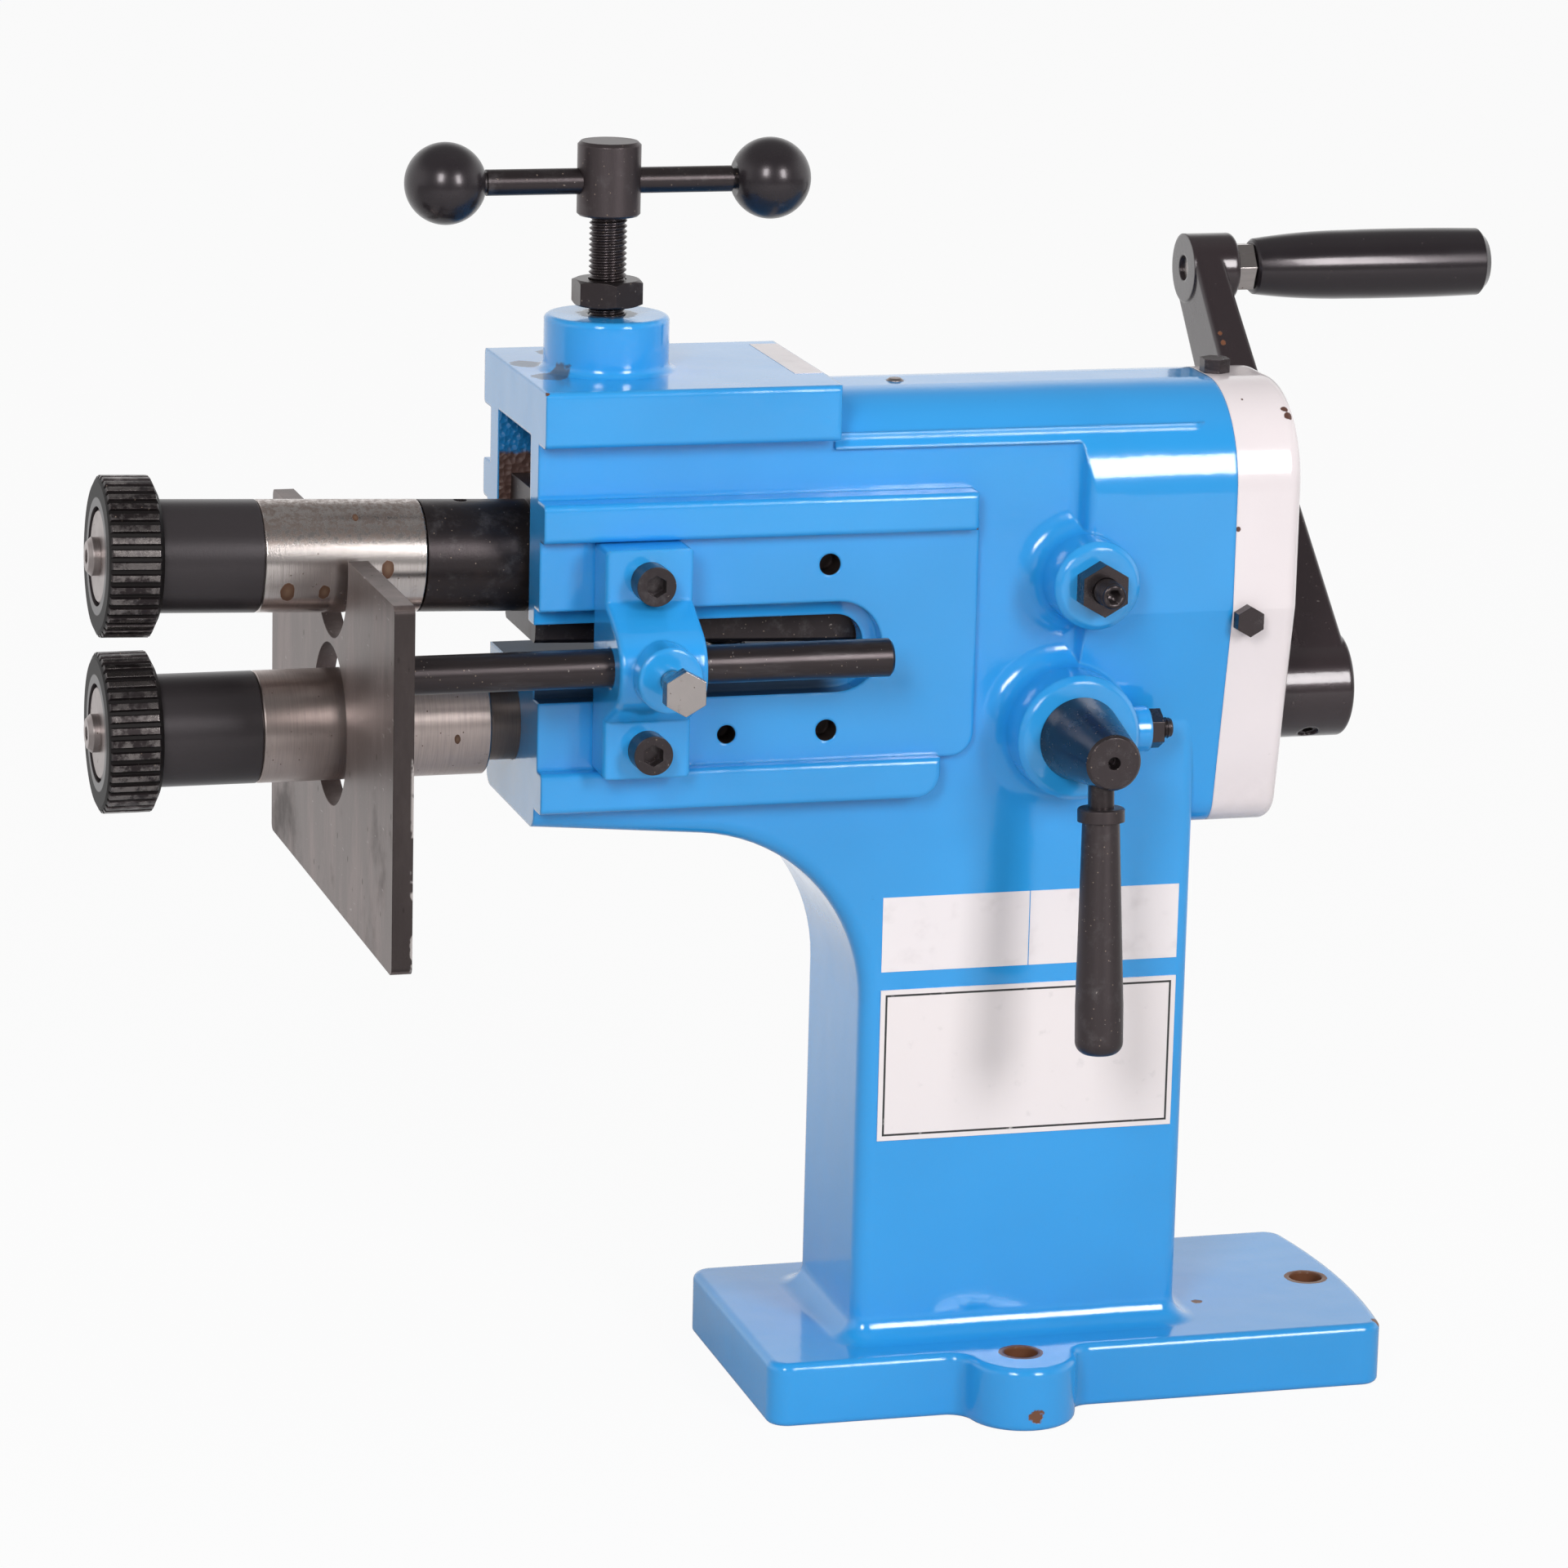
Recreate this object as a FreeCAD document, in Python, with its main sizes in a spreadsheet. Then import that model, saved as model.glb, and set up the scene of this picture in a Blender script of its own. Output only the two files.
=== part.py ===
"""Hand-cranked bead roller, built as an assembly of separate pieces (millimetres).

Origin: centre of the foot, on its underside.  +X runs along the shafts from the rolls to the
crank, +Y away from the operator's side, +Z up.
"""
import FreeCAD, Part
import math
import os
import re
import Sketcher
from FreeCAD import Placement, Rotation, Vector

# ---------------------------------------------------------------- driving dimensions
SIZES = {
    # foot and column of the casting
    "foot_length": 242.0, "foot_width": 121.0, "foot_height": 24.4, "foot_corner": 8.0,
    "foot_bow": 5.5, "foot_edge": 3.0, "lug_x": -25.0, "lug_reach": 63.5, "lug_radius": 21.0,
    "end_hole_inset": 9.0, "bolt_hole_radius": 6.5,
    "column_centre": -18.9, "column_length": 128.4, "column_width": 75.6, "column_edge": 6.0,
    "column_fillet": 9.0, "neck_radius": 68.0,
    # heights of the shafts
    "axis_height": 262.4, "pivot_x": -4.3, "pivot_rise": 54.4, "arm_open": 1.72,
    # head of the casting: left of the origin, heights from the lower shaft
    "head_reach": 209.7, "head_drop": 33.8, "head_slope": 4.7, "head_edge": 2.0,
    "block_low": 108.6, "block_high": 129.1, "block_right": -99.4, "block_width": 97.0,
    "rib_width": 97.0, "upper_rib_low": 73.9, "upper_rib_high": 88.1, "upper_rib_right": -46.4,
    "lower_rib_low": -25.9, "lower_rib_high": -10.9, "lower_rib_right": -58.4,
    "lower_rib_round": 9.0,
    "slot_low": 14.2, "slot_high": 48.1, "slot_end": -80.3, "slot_step": 6.4, "slot_depth": 7.8,
    "slot_inner_end": -85.5, "cavity_width": 51.0, "cavity_roof": 110.0, "cavity_back_roof": 92.0,
    "cavity_step_x": -55.0,
    # gear housing outline, seen along the shafts
    "house_width": 91.2, "house_top": 121.6, "house_shoulder": 37.0, "house_break": 40.0,
    "house_foot_width": 60.0, "house_foot": 46.0, "house_foot_corner": 12.0,
    "recess_right": 0.6, "recess_top": 104.0, "recess_low": -12.0, "recess_blend": 10.0,
    "panel_lift": 4.2, "panel_right": -44.3, "panel_corner": 9.0, "panel_edge": 1.0,
    "joint_x": 54.0, "cover_depth": 26.0, "cover_wall": 4.0, "cover_round": 5.0,
    "spigot_length": 12.0, "spigot_wall": 4.0, "spigot_clearance": 0.2,
    "cover_hole_radius": 15.0, "cover_bolt_x": 59.4, "cover_bolt_rise": 36.5,
    # bosses on the casting
    "screw_x": -175.8, "screw_boss_radius": 22.95, "screw_boss_height": 19.9,
    "pivot_boss_radius": 16.5, "pivot_boss_reach": 62.0, "pivot_boss_fillet": 8.0,
    "shifter_x": -9.4, "shifter_drop": 2.5, "shifter_boss_radius": 23.5, "shifter_reach": 62.0,
    "shifter_boss_fillet": 8.0,
    # rolls and shafts
    "roll_reach": 359.1, "roll_radius": 29.25, "roll_width": 20.5, "roll_chamfer": 2.4,
    "roll_teeth": 40.0, "tooth_depth": 1.4, "tooth_gap": 2.3, "hub_radius": 20.55,
    "hub_end": 57.75, "recess_radius": 18.0, "recess_depth": 4.0,
    "washer_radius": 17.0, "washer_thickness": 3.5, "end_screw_head_radius": 7.0,
    "end_screw_head": 4.2, "end_screw_radius": 4.0, "end_screw_length": 22.0,
    "upper_sleeve_end": 117.3, "lower_sleeve_end": 142.0, "shaft_radius": 10.0,
    "quill_radius": 15.7, "quill_bore": 10.6, "quill_end": 412.2, "bush_radius": 13.0,
    "bush_length": 28.0, "running_fit": 0.05, "seat_fit": 0.02, "end_gap": 0.3,
    "key_width": 6.0, "key_height": 6.0, "key_length": 14.0,
    # pivoting upper arm
    "arm_block_start": 157.5, "arm_block_end": 395.0, "arm_block_width": 47.0,
    "arm_block_rise": 26.0, "arm_block_drop": 28.2, "arm_chamfer": 1.5, "arm_bore": 12.0,
    "oil_hole_radius": 2.5,
    "oil_hole_at": 133.0, "pivot_radius": 5.0, "pivot_depth": 7.0, "pivot_screw_out": 18.0,
    "pivot_nut_flats": 17.0, "pivot_nut_height": 8.0,
    # gears
    "gear_teeth": 21.0, "gear_tip": 28.0, "gear_root": 22.4, "gear_gap_outer": 6.5,
    "gear_gap_inner": 2.1, "gear_hub_radius": 14.5, "gear_start": 421.0,
    "lower_gear_width": 14.8, "upper_gear_width": 13.0, "clip_thickness": 1.5,
    "clip_radius": 13.0, "clip_groove": 1.0,
    # clamp screw
    "screw_radius": 7.0, "screw_fit": 0.1, "pad_radius": 11.0, "pad_thickness": 7.0,
    "pad_gap": 0.3, "pad_seat": 3.5, "nut_flats": 23.4, "nut_height": 9.5, "nut_gap": 3.4,
    "cross_rise": 197.7, "cross_hub_radius": 11.6, "cross_hub_low": 185.2,
    "cross_hub_high": 212.2, "cross_bar_radius": 4.75, "ball_radius": 14.9, "ball_reach": 60.6,
    "ball_socket": 10.0, "ball_neck": 6.5,
    "spring_x": -128.0, "spring_radius": 6.5, "spring_wire": 0.9, "spring_turns": 5.0,
    "spring_pocket": 6.0,
    # crank
    "crank_gap": 3.1, "crank_hub_radius": 20.0, "crank_hub_length": 31.0, "crank_length": 177.5,
    "crank_lean": 36.0, "crank_boss_radius": 13.4, "crank_boss_left": 82.6,
    "crank_boss_length": 19.5, "crank_arm_thickness": 12.0, "crank_arm_offset": 10.5,
    "crank_root_thickness": 20.5, "crank_root_half": 19.0, "spindle_radius": 5.0, "spindle_flats": 17.5,
    "spindle_hex": 7.6, "grip_length": 97.0, "grip_neck_radius": 10.9,
    "grip_belly_radius": 13.5, "grip_end_radius": 13.2, "grip_gap": 0.6,
    # eccentric shifter and its lever
    "shifter_radius": 10.0, "shifter_root_radius": 15.7, "shifter_nose_radius": 10.4,
    "shifter_nose": 39.0, "shifter_pin_radius": 4.0, "shifter_throw": 4.0,
    "shifter_slot_play": 0.35, "shifter_slot_height": 13.0, "lever_lean": 4.6,
    "lever_at": 24.3, "lever_neck": 19.6, "lever_socket": 12.0, "stud_radius": 4.8,
    "lever_collar_radius": 8.7, "lever_collar": 5.0,
    "lever_top_radius": 6.9, "lever_bottom_radius": 8.9, "lever_length": 91.8,
    "lever_end_round": 5.0,
    "lock_depth": 12.0, "lock_radius": 4.0, "lock_boss_radius": 8.5, "lock_boss_reach": 29.4,
    "lock_out": 9.6, "lock_nut_flats": 13.0, "lock_nut_height": 5.2, "lock_groove": 1.6,
    # sheet guide
    "bracket_x": -173.5, "bracket_width": 32.5, "bracket_flange": 18.6, "knuckle_radius": 16.2,
    "knuckle_blend": 6.0,
    "guide_bolt_boss": 12.0, "guide_bolt_boss_out": 8.5, "rod_y": -68.0, "rod_rise": 32.6,
    "rod_radius": 7.0, "rod_right": -85.0, "rod_spigot_radius": 5.0, "rod_spigot": 4.5,
    "plate_left": -277.4, "plate_thickness": 7.4, "plate_width": 216.0, "plate_low": 66.5,
    "plate_high": 66.5, "plate_hole": 30.0, "plate_corner": 3.0,
    "bracket_screw_rise": 62.0, "cap_head_radius": 7.2, "cap_head": 9.5, "cap_socket": 7.0,
    "thread_radius": 4.0, "thread_depth": 11.0, "spare_hole_x": -101.1, "single_hole_x": -138.9,
    "guide_bolt_out": 15.0, "guide_bolt_flats": 14.3, "guide_bolt_head": 6.0,
    # plates on the column
    "plate_x": -18.15, "nameplate_width": 115.8, "nameplate_height": 58.4,
    "nameplate_rise": 130.7, "nameplate_thickness": 0.6,
    "sticker_height": 28.6, "sticker_rise": 80.2, "sticker_left_width": 57.0,
    "sticker_right_width": 58.8, "sticker_thickness": 0.25, "sticker_gap": 0.4,
    "cover_bolt_flats": 10.0, "cover_bolt_head": 5.3, "cover_bolt_radius": 3.0,
    "plug_x": -65.6, "plug_radius": 3.2, "plug_depth": 6.0,
}

# places worked out from the driving dimensions
DERIVED = {
    "column_left": "column_centre - column_length / 2",
    "column_right": "column_centre + column_length / 2",
    "neck_z": "axis_height - head_drop - (column_left + head_reach) * tan(head_slope)",
    "roll_face": "pivot_x - roll_reach",
    "pivot_z": "axis_height + pivot_rise",
    "cover_face": "joint_x + cover_depth",
    "cover_floor": "joint_x + cover_depth - cover_wall",
    "crank_left": "cover_face + crank_gap",
    "crank_right": "crank_left + crank_hub_length",
    "quill_bore_radius": "quill_radius + running_fit",
    "web_face": "column_width / 2",
    "recess_drop": "house_width / 2 - web_face + 0.2",
    "panel_face": "web_face + panel_lift",
    "cavity_floor": "slot_low + slot_step",
    "knuckle_face": "-rod_y + knuckle_radius",
    "knuckle_back": "-rod_y - panel_face - bracket_flange",
    "knuckle_rise": "knuckle_radius + knuckle_blend",
    "knuckle_away": "sqrt(knuckle_back^2 + knuckle_rise^2)",
    "knuckle_share": "knuckle_radius / knuckle_away",
    "knuckle_turn": "sqrt(1 - knuckle_share^2)",
    "touch_back": "knuckle_share * (knuckle_rise * knuckle_turn - knuckle_back * knuckle_share)",
    "touch_rise": "knuckle_share * (knuckle_rise * knuckle_share + knuckle_back * knuckle_turn)",
    "bolt_face": "knuckle_face + guide_bolt_boss_out",
    "shifter_z": "axis_height - shifter_drop",
    "screw_boss_top": "axis_height + block_high + screw_boss_height",
    "arm_drop_at_screw": "(pivot_x - screw_x) * tan(arm_open)",
    "pad_bottom": "pivot_z + arm_drop_at_screw + arm_block_rise / cos(arm_open) + pad_gap",
    "nut_bottom": "screw_boss_top + nut_gap",
    "house_slope": "(house_width - house_foot_width) / 2 / (house_break + house_foot)",
    "lock_face": "shifter_x + lock_boss_reach",
    "crank_shoulder": "crank_boss_left + crank_boss_length",
    "grip_start": "crank_shoulder + spindle_hex + grip_gap",
}

WORD = re.compile(r"[A-Za-z_][A-Za-z_0-9]*")
ROLES = {"XY": "XY_Plane", "XZ": "XZ_Plane", "YZ": "YZ_Plane"}
NODES = []

doc = FreeCAD.newDocument("bead_roller")
sheet = doc.addObject("Spreadsheet::Sheet", "Sizes")
for row, (size_name, size_value) in enumerate(SIZES.items(), 1):
    sheet.set("A%d" % row, size_name)
    sheet.set("B%d" % row, str(size_value))
    sheet.setAlias("B%d" % row, size_name)
doc.recompute()


# ---------------------------------------------------------------- expressions
def formula(text):
    """Spell out an expression in the names of the sheet's cells."""
    def swap(match):
        word = match.group(0)
        if word in SIZES:
            return "Sizes." + word
        if word in DERIVED:
            return "(" + formula(DERIVED[word]) + ")"
        return word
    return WORD.sub(swap, str(text))


def value(text):
    """The number that an expression gives now."""
    result = sheet.evalExpression(formula(text))
    return float(getattr(result, "Value", result))


def bind(thing, prop, text):
    thing.setExpression(prop, formula(text))


# ---------------------------------------------------------------- bodies and sketches
def new_body(label, base=("0", "0", "0"), axis=None, angle="0"):
    """A body named after its node, turned by angle about axis and moved to base."""
    body = doc.addObject("PartDesign::Body", label)
    body.Label = label
    if axis is not None:
        body.Placement = Placement(Vector(), Rotation(Vector(*axis), value(angle)))
        bind(body, "Placement.Rotation.Angle", angle)
    for letter, text in zip("xyz", base):
        bind(body, "Placement.Base." + letter, text)
    NODES.append(body)
    return body


def new_sketch(body, plane, offset):
    """A sketch on one of the body's origin planes, moved along the plane's normal."""
    sketch = body.newObject("Sketcher::SketchObject", body.Name + "_sketch")
    origin = [f for f in body.Origin.OriginFeatures if f.Role == ROLES[plane]][0]
    sketch.AttachmentSupport = [(origin, "")]
    sketch.MapMode = "FlatFace"
    bind(sketch, "AttachmentOffset.Base.z", offset)
    return sketch


def pin_point(sketch, index, which, point):
    """Hold one end or centre of a curve at two expressions, measured from the origin."""
    for kind, text in zip(("DistanceX", "DistanceY"), point):
        number = sketch.addConstraint(
            Sketcher.Constraint(kind, -1, 1, index, which, value(text)))
        bind(sketch, "Constraints[%d]" % number, text)


def arc_through(start, end, radius):
    """An arc from start to end; a positive radius bulges to the right of the way."""
    chord = end.sub(start)
    half = chord.Length / 2
    middle = start.add(end).multiply(0.5)
    side = Vector(chord.y, -chord.x, 0).normalize()
    sign = 1 if radius > 0 else -1
    rise = abs(radius) - math.sqrt(max(radius * radius - half * half, 0))
    return Part.Arc(start, middle.add(side.multiply(sign * rise)), end)


def draw_polygon(sketch, points, arcs=None):
    """A closed outline through points; arcs gives the radius of any curved side."""
    arcs = arcs or {}
    places = [Vector(value(p[0]), value(p[1]), 0) for p in points]
    first = sketch.GeometryCount
    for i, place in enumerate(places):
        after = places[(i + 1) % len(places)]
        if i in arcs:
            arc = arc_through(place, after, value(arcs[i]))
            sketch.addGeometry(arc)
        else:
            sketch.addGeometry(Part.LineSegment(place, after))
    for i, point in enumerate(points):
        index = first + i
        before = first + (i - 1) % len(points)
        begin = end_at(sketch, index, places[i])
        finish = end_at(sketch, before, places[i])
        pin_point(sketch, index, begin, point)
        sketch.addConstraint(Sketcher.Constraint("Coincident", before, finish, index, begin))
        if i in arcs:
            number = sketch.addConstraint(
                Sketcher.Constraint("Radius", index, abs(value(arcs[i]))))
            bind(sketch, "Constraints[%d]" % number, "abs(%s)" % arcs[i])


def end_at(sketch, index, place):
    """Which end of a curve lies at place: 1 for its first point, 2 for its last."""
    return 1 if sketch.getPoint(index, 1).distanceToPoint(place) < 1e-4 else 2


def draw_circle(sketch, centre, radius):
    middle = Vector(value(centre[0]), value(centre[1]), 0)
    index = sketch.addGeometry(Part.Circle(middle, Vector(0, 0, 1), value(radius)))
    pin_point(sketch, index, 3, centre)
    number = sketch.addConstraint(Sketcher.Constraint("Radius", index, value(radius)))
    bind(sketch, "Constraints[%d]" % number, radius)


def rectangle(left, right, low, high):
    return [(left, low), (right, low), (right, high), (left, high)]


def hexagon(centre, flats):
    """Corners of a hexagon with two flats square to the sketch's first axis."""
    x, y = centre
    steps = [(0.5, 0.288675), (0, 0.577350), (-0.5, 0.288675),
             (-0.5, -0.288675), (0, -0.577350), (0.5, -0.288675)]
    return [("%s + (%s) * %s" % (x, flats, a), "%s + (%s) * %s" % (y, flats, b))
            for a, b in steps]


def draw(sketch, shape):
    """Draw ('circle', centre, radius), ('polygon', points, arcs) or a list of them."""
    if isinstance(shape, list):
        for item in shape:
            draw(sketch, item)
    elif shape[0] == "circle":
        draw_circle(sketch, shape[1], shape[2])
    else:
        draw_polygon(sketch, shape[1], shape[2] if len(shape) > 2 else None)


def extrude(kind, body, plane, shape, low, high):
    """Pad or pocket between two places along X (YZ), Y (XZ) or Z (XY)."""
    start = {"XZ": "-(%s)" % low}.get(plane, high)
    far = {"XZ": "-(%s)" % high}.get(plane, low)
    sketch = new_sketch(body, plane, start if kind == "Pocket" else far)
    draw(sketch, shape)
    feature = body.newObject("PartDesign::" + kind, body.Name + "_" + kind.lower())
    feature.Profile = sketch
    bind(feature, "Length", "(%s) - (%s)" % (high, low))
    doc.recompute()
    return feature


def pad(body, plane, shape, low, high):
    return extrude("Pad", body, plane, shape, low, high)


def pocket(body, plane, shape, low, high):
    return extrude("Pocket", body, plane, shape, low, high)


def turn(body, axis, profile, arcs=None, kind="Revolution", shift=("0", "0")):
    """Turn a profile of (along, radius) points about X, Y or Z.

    shift moves the axis: across in the sketch's plane, and along the plane's normal.
    """
    plane = {"X": "XZ", "Y": "XY", "Z": "XZ"}[axis]
    points = profile if axis == "X" else [(r, a) for a, r in profile]
    sketch = new_sketch(body, plane, shift[1])
    bind(sketch, "AttachmentOffset.Base.x", shift[0])
    draw_polygon(sketch, points, arcs)
    feature = body.newObject("PartDesign::" + kind, body.Name + "_turn")
    feature.Profile = sketch
    feature.ReferenceAxis = (sketch, ["H_Axis" if axis == "X" else "V_Axis"])
    feature.Angle = 360
    doc.recompute()
    return feature


def repeat(body, feature, axis, count):
    """Repeat a feature round one of the body's axes."""
    pattern = body.newObject("PartDesign::PolarPattern", body.Name + "_pattern")
    pattern.Originals = [feature]
    origin = [f for f in body.Origin.OriginFeatures if f.Role == axis + "_Axis"][0]
    pattern.Axis = (origin, [""])
    pattern.Angle = 360
    bind(pattern, "Occurrences", count)
    body.Tip = pattern
    doc.recompute()
    return pattern


def dress(body, kind, size, test):
    """Fillet or chamfer every edge that passes the test."""
    base = body.Tip
    names = ["Edge%d" % i for i, edge in enumerate(base.Shape.Edges, 1) if test(edge)]
    if not names:
        raise RuntimeError("no edge found to dress on " + body.Label)
    feature = body.newObject("PartDesign::" + kind, body.Name + "_" + kind.lower())
    feature.Base = (base, names)
    bind(feature, "Radius" if kind == "Fillet" else "Size", size)
    body.Tip = feature
    doc.recompute()
    return feature


def box_of(edge):
    return edge.BoundBox


def runs_along(edge, letter):
    """True for a straight edge parallel to one axis."""
    box = box_of(edge)
    spans = {"x": box.XLength, "y": box.YLength, "z": box.ZLength}
    return spans.pop(letter) > 0.01 and max(spans.values()) < 0.01


def lies_at(edge, letter, place, slack=0.02):
    """True where the whole edge lies in a plane square to one axis."""
    box = box_of(edge)
    low = {"x": box.XMin, "y": box.YMin, "z": box.ZMin}[letter]
    high = {"x": box.XMax, "y": box.YMax, "z": box.ZMax}[letter]
    return abs(low - place) < slack and abs(high - place) < slack


# ---------------------------------------------------------------- shared outlines
def house_outline(inset):
    """Gear housing seen along the shafts, drawn inward by inset."""
    root = "sqrt(1 + house_slope ^ 2)"
    half = "(house_width / 2 - (%s))" % inset
    foot = "(house_foot_width / 2 + (%s) * (house_slope - %s))" % (inset, root)
    top = "(axis_height + house_top - (%s))" % inset
    low = "(axis_height - house_foot + (%s))" % inset
    bend = "axis_height + house_break"
    shoulder = "(house_shoulder - (%s))" % inset
    corner = "max(house_foot_corner - (%s); 1)" % inset
    reach = "(%s * (%s - house_slope))" % (corner, root)
    right = [("%s - %s" % (foot, reach), low),
             ("%s + %s * house_slope / %s" % (foot, reach, root),
              "%s + %s / %s" % (low, reach, root)),
             (half, bend), (half, "%s - %s" % (top, shoulder)),
             ("%s - %s" % (half, shoulder), top)]
    left = [("-(%s)" % y, z) for y, z in reversed(right)]
    arcs = {0: corner, 3: shoulder, 5: shoulder, 8: corner}
    return ("polygon", right + left, arcs)


# ---------------------------------------------------------------- the casting
def round_boss(body, centre, side, root, reach, radius, fillet):
    """Turned boss along Y with a hollow fillet where it leaves the cheek."""
    sign = "" if side > 0 else "-"
    wide = "%s + %s" % (radius, fillet)
    profile = [("%s(%s - 8)" % (sign, root), "0"), ("%s(%s - 8)" % (sign, root), wide),
               ("%s(%s)" % (sign, root), wide), ("%s(%s + %s)" % (sign, root, fillet), radius),
               ("%s(%s - head_edge)" % (sign, reach), radius),
               ("%s(%s)" % (sign, reach), "%s - head_edge" % radius),
               ("%s(%s)" % (sign, reach), "0")]
    bend = "-" + fillet if side > 0 else fillet
    turn(body, "Y", profile, {2: bend}, shift=centre)


def cut_recess(body, side, low, high):
    """Flat on one cheek of the housing, running out at the right in an S-shaped blend."""
    flat, outside = "web_face", "house_width / 2 + 5"
    bend = "(recess_blend^2 + recess_drop^2) / (4 * recess_drop)"
    points = [("block_right - 1", flat), ("recess_right - recess_blend", flat),
              ("recess_right - recess_blend / 2", flat + " + recess_drop / 2"),
              ("recess_right", flat + " + recess_drop"), ("recess_right", outside),
              ("block_right - 1", outside)]
    arcs = {1: bend, 2: "-" + bend}
    if side == "-":
        points = [(x, "-(%s)" % y) for x, y in points]
        arcs = {1: "-" + bend, 2: bend}
    pocket(body, "XY", ("polygon", points, arcs), low, high)


def make_frame():
    body = new_body("frame_casting")
    half = "foot_width / 2"
    end = "foot_length / 2"
    bow_radius = "((%s)^2 + foot_bow^2) / (2 * foot_bow)" % half
    foot = [("-(%s)" % end, "-(%s)" % half), (end, "-(%s)" % half), (end, half),
            ("-(%s)" % end, half)]
    pad(body, "XY", ("polygon", foot, {1: bow_radius}), "0", "foot_height")
    dress(body, "Fillet", "foot_corner", lambda e: runs_along(e, "z"))
    for side in ("-", ""):
        lug = ("circle", ("lug_x", side + "lug_reach"), "lug_radius")
        pad(body, "XY", lug, "0", "foot_height")
    lug_corner = value("foot_width / 2")
    dress(body, "Fillet", "foot_corner",
          lambda e: runs_along(e, "z") and abs(abs(box_of(e).YMin) - lug_corner) < 0.02
          and abs(box_of(e).XMin) < value("lug_radius") - value("lug_x"))
    top = value("foot_height")
    dress(body, "Fillet", "foot_edge", lambda e: lies_at(e, "z", top))

    # column, neck and web of the head, as one side view
    side_view = [("column_left", "foot_height - 1"), ("column_right", "foot_height - 1"),
                 ("column_right", "axis_height + block_low + 1"),
                 ("-head_reach", "axis_height + block_low + 1"),
                 ("-head_reach", "axis_height - head_drop"),
                 ("column_left", "neck_z")]
    pad(body, "XZ", ("polygon", side_view), "-web_face", "web_face")
    neck = value("neck_z")
    dress(body, "Fillet", "neck_radius",
          lambda e: runs_along(e, "y") and lies_at(e, "z", neck))
    right, brow = value("column_right"), value("axis_height - head_drop")
    web = value("web_face")
    dress(body, "Fillet", "column_edge",
          lambda e: (lies_at(e, "y", web) or lies_at(e, "y", -web)) and box_of(e).ZLength > 1
          and (box_of(e).ZMax < brow + 0.1 or abs(box_of(e).XMin - right) < 0.02))
    slab, left = value("foot_height"), value("column_left")
    dress(body, "Fillet", "column_fillet",
          lambda e: lies_at(e, "z", slab) and box_of(e).XMin > left - 0.1
          and box_of(e).XMax < right + 0.1 and abs(box_of(e).YMin) < web + 0.1)

    # gear housing
    pad(body, "YZ", house_outline("0"), "block_right", "joint_x")
    low, high = "axis_height + recess_low", "axis_height + recess_top"
    for side in ("-", ""):
        cut_recess(body, side, low, high)

    # machined flat that stands proud of the head between the two ribs
    high = "axis_height + upper_rib_low + 3"
    flat = [("-head_reach", low), ("panel_right - panel_corner", low),
            ("panel_right", low + " + panel_corner"), ("panel_right", high),
            ("-head_reach", high)]
    pad(body, "XZ", ("polygon", flat, {1: "panel_corner"}), "-panel_face", "panel_face")
    proud, corner = value("panel_face"), value("panel_right") - value("panel_corner") - 0.1
    dress(body, "Fillet", "panel_edge",
          lambda e: (lies_at(e, "y", proud) or lies_at(e, "y", -proud))
          and box_of(e).XMin > corner)

    # top block, ribs and bosses
    pad(body, "YZ", ("polygon", rectangle("-block_width / 2", "block_width / 2",
                                          "axis_height + block_low",
                                          "axis_height + block_high")),
        "-head_reach", "block_right")
    pad(body, "YZ", ("polygon", rectangle("-rib_width / 2", "rib_width / 2",
                                          "axis_height + upper_rib_low",
                                          "axis_height + upper_rib_high")),
        "-head_reach", "upper_rib_right")
    low, high = "axis_height + lower_rib_low", "axis_height + lower_rib_high"
    rib = [("-head_reach", low), ("lower_rib_right - lower_rib_round", low),
           ("lower_rib_right", low + " + lower_rib_round"), ("lower_rib_right", high),
           ("-head_reach", high)]
    pad(body, "XZ", ("polygon", rib, {1: "lower_rib_round"}), "-rib_width / 2",
        "rib_width / 2")
    rib_ends = (value("upper_rib_right"), value("lower_rib_right"), value("block_right"))
    wide = value("block_width") / 2 - 0.1
    dress(body, "Fillet", "head_edge",
          lambda e: (runs_along(e, "x") or runs_along(e, "z")) and abs(box_of(e).YMin) > wide
          and (runs_along(e, "x") or min(abs(box_of(e).XMin - r) for r in rib_ends) < 0.02))
    pad(body, "XY", ("circle", ("screw_x", "0"), "screw_boss_radius"),
        "axis_height + block_high - 2", "screw_boss_top")
    roof = value("axis_height + block_high")
    dress(body, "Fillet", "column_edge / 2",
          lambda e: lies_at(e, "z", roof) and abs(box_of(e).XLength
                                                  - 2 * value("screw_boss_radius")) < 0.1)
    boss_top = value("screw_boss_top")
    dress(body, "Fillet", "head_edge", lambda e: lies_at(e, "z", boss_top))
    for side in (-1, 1):
        round_boss(body, ("pivot_x", "pivot_z"), side, "web_face", "pivot_boss_reach",
                   "pivot_boss_radius", "pivot_boss_fillet")
    round_boss(body, ("shifter_x", "shifter_z"), -1, "web_face", "shifter_reach",
               "shifter_boss_radius", "shifter_boss_fillet")
    pad(body, "YZ", ("circle", ("-shifter_reach + lock_depth", "shifter_z"),
                     "lock_boss_radius"), "shifter_x", "lock_face")

    # spigot that carries the cover
    inset = "cover_wall + spigot_clearance"
    pad(body, "YZ", house_outline(inset), "joint_x", "joint_x + spigot_length")
    inside = "cover_wall + spigot_clearance + spigot_wall"
    pocket(body, "YZ", house_outline(inside), "joint_x - 2", "joint_x + spigot_length")

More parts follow.
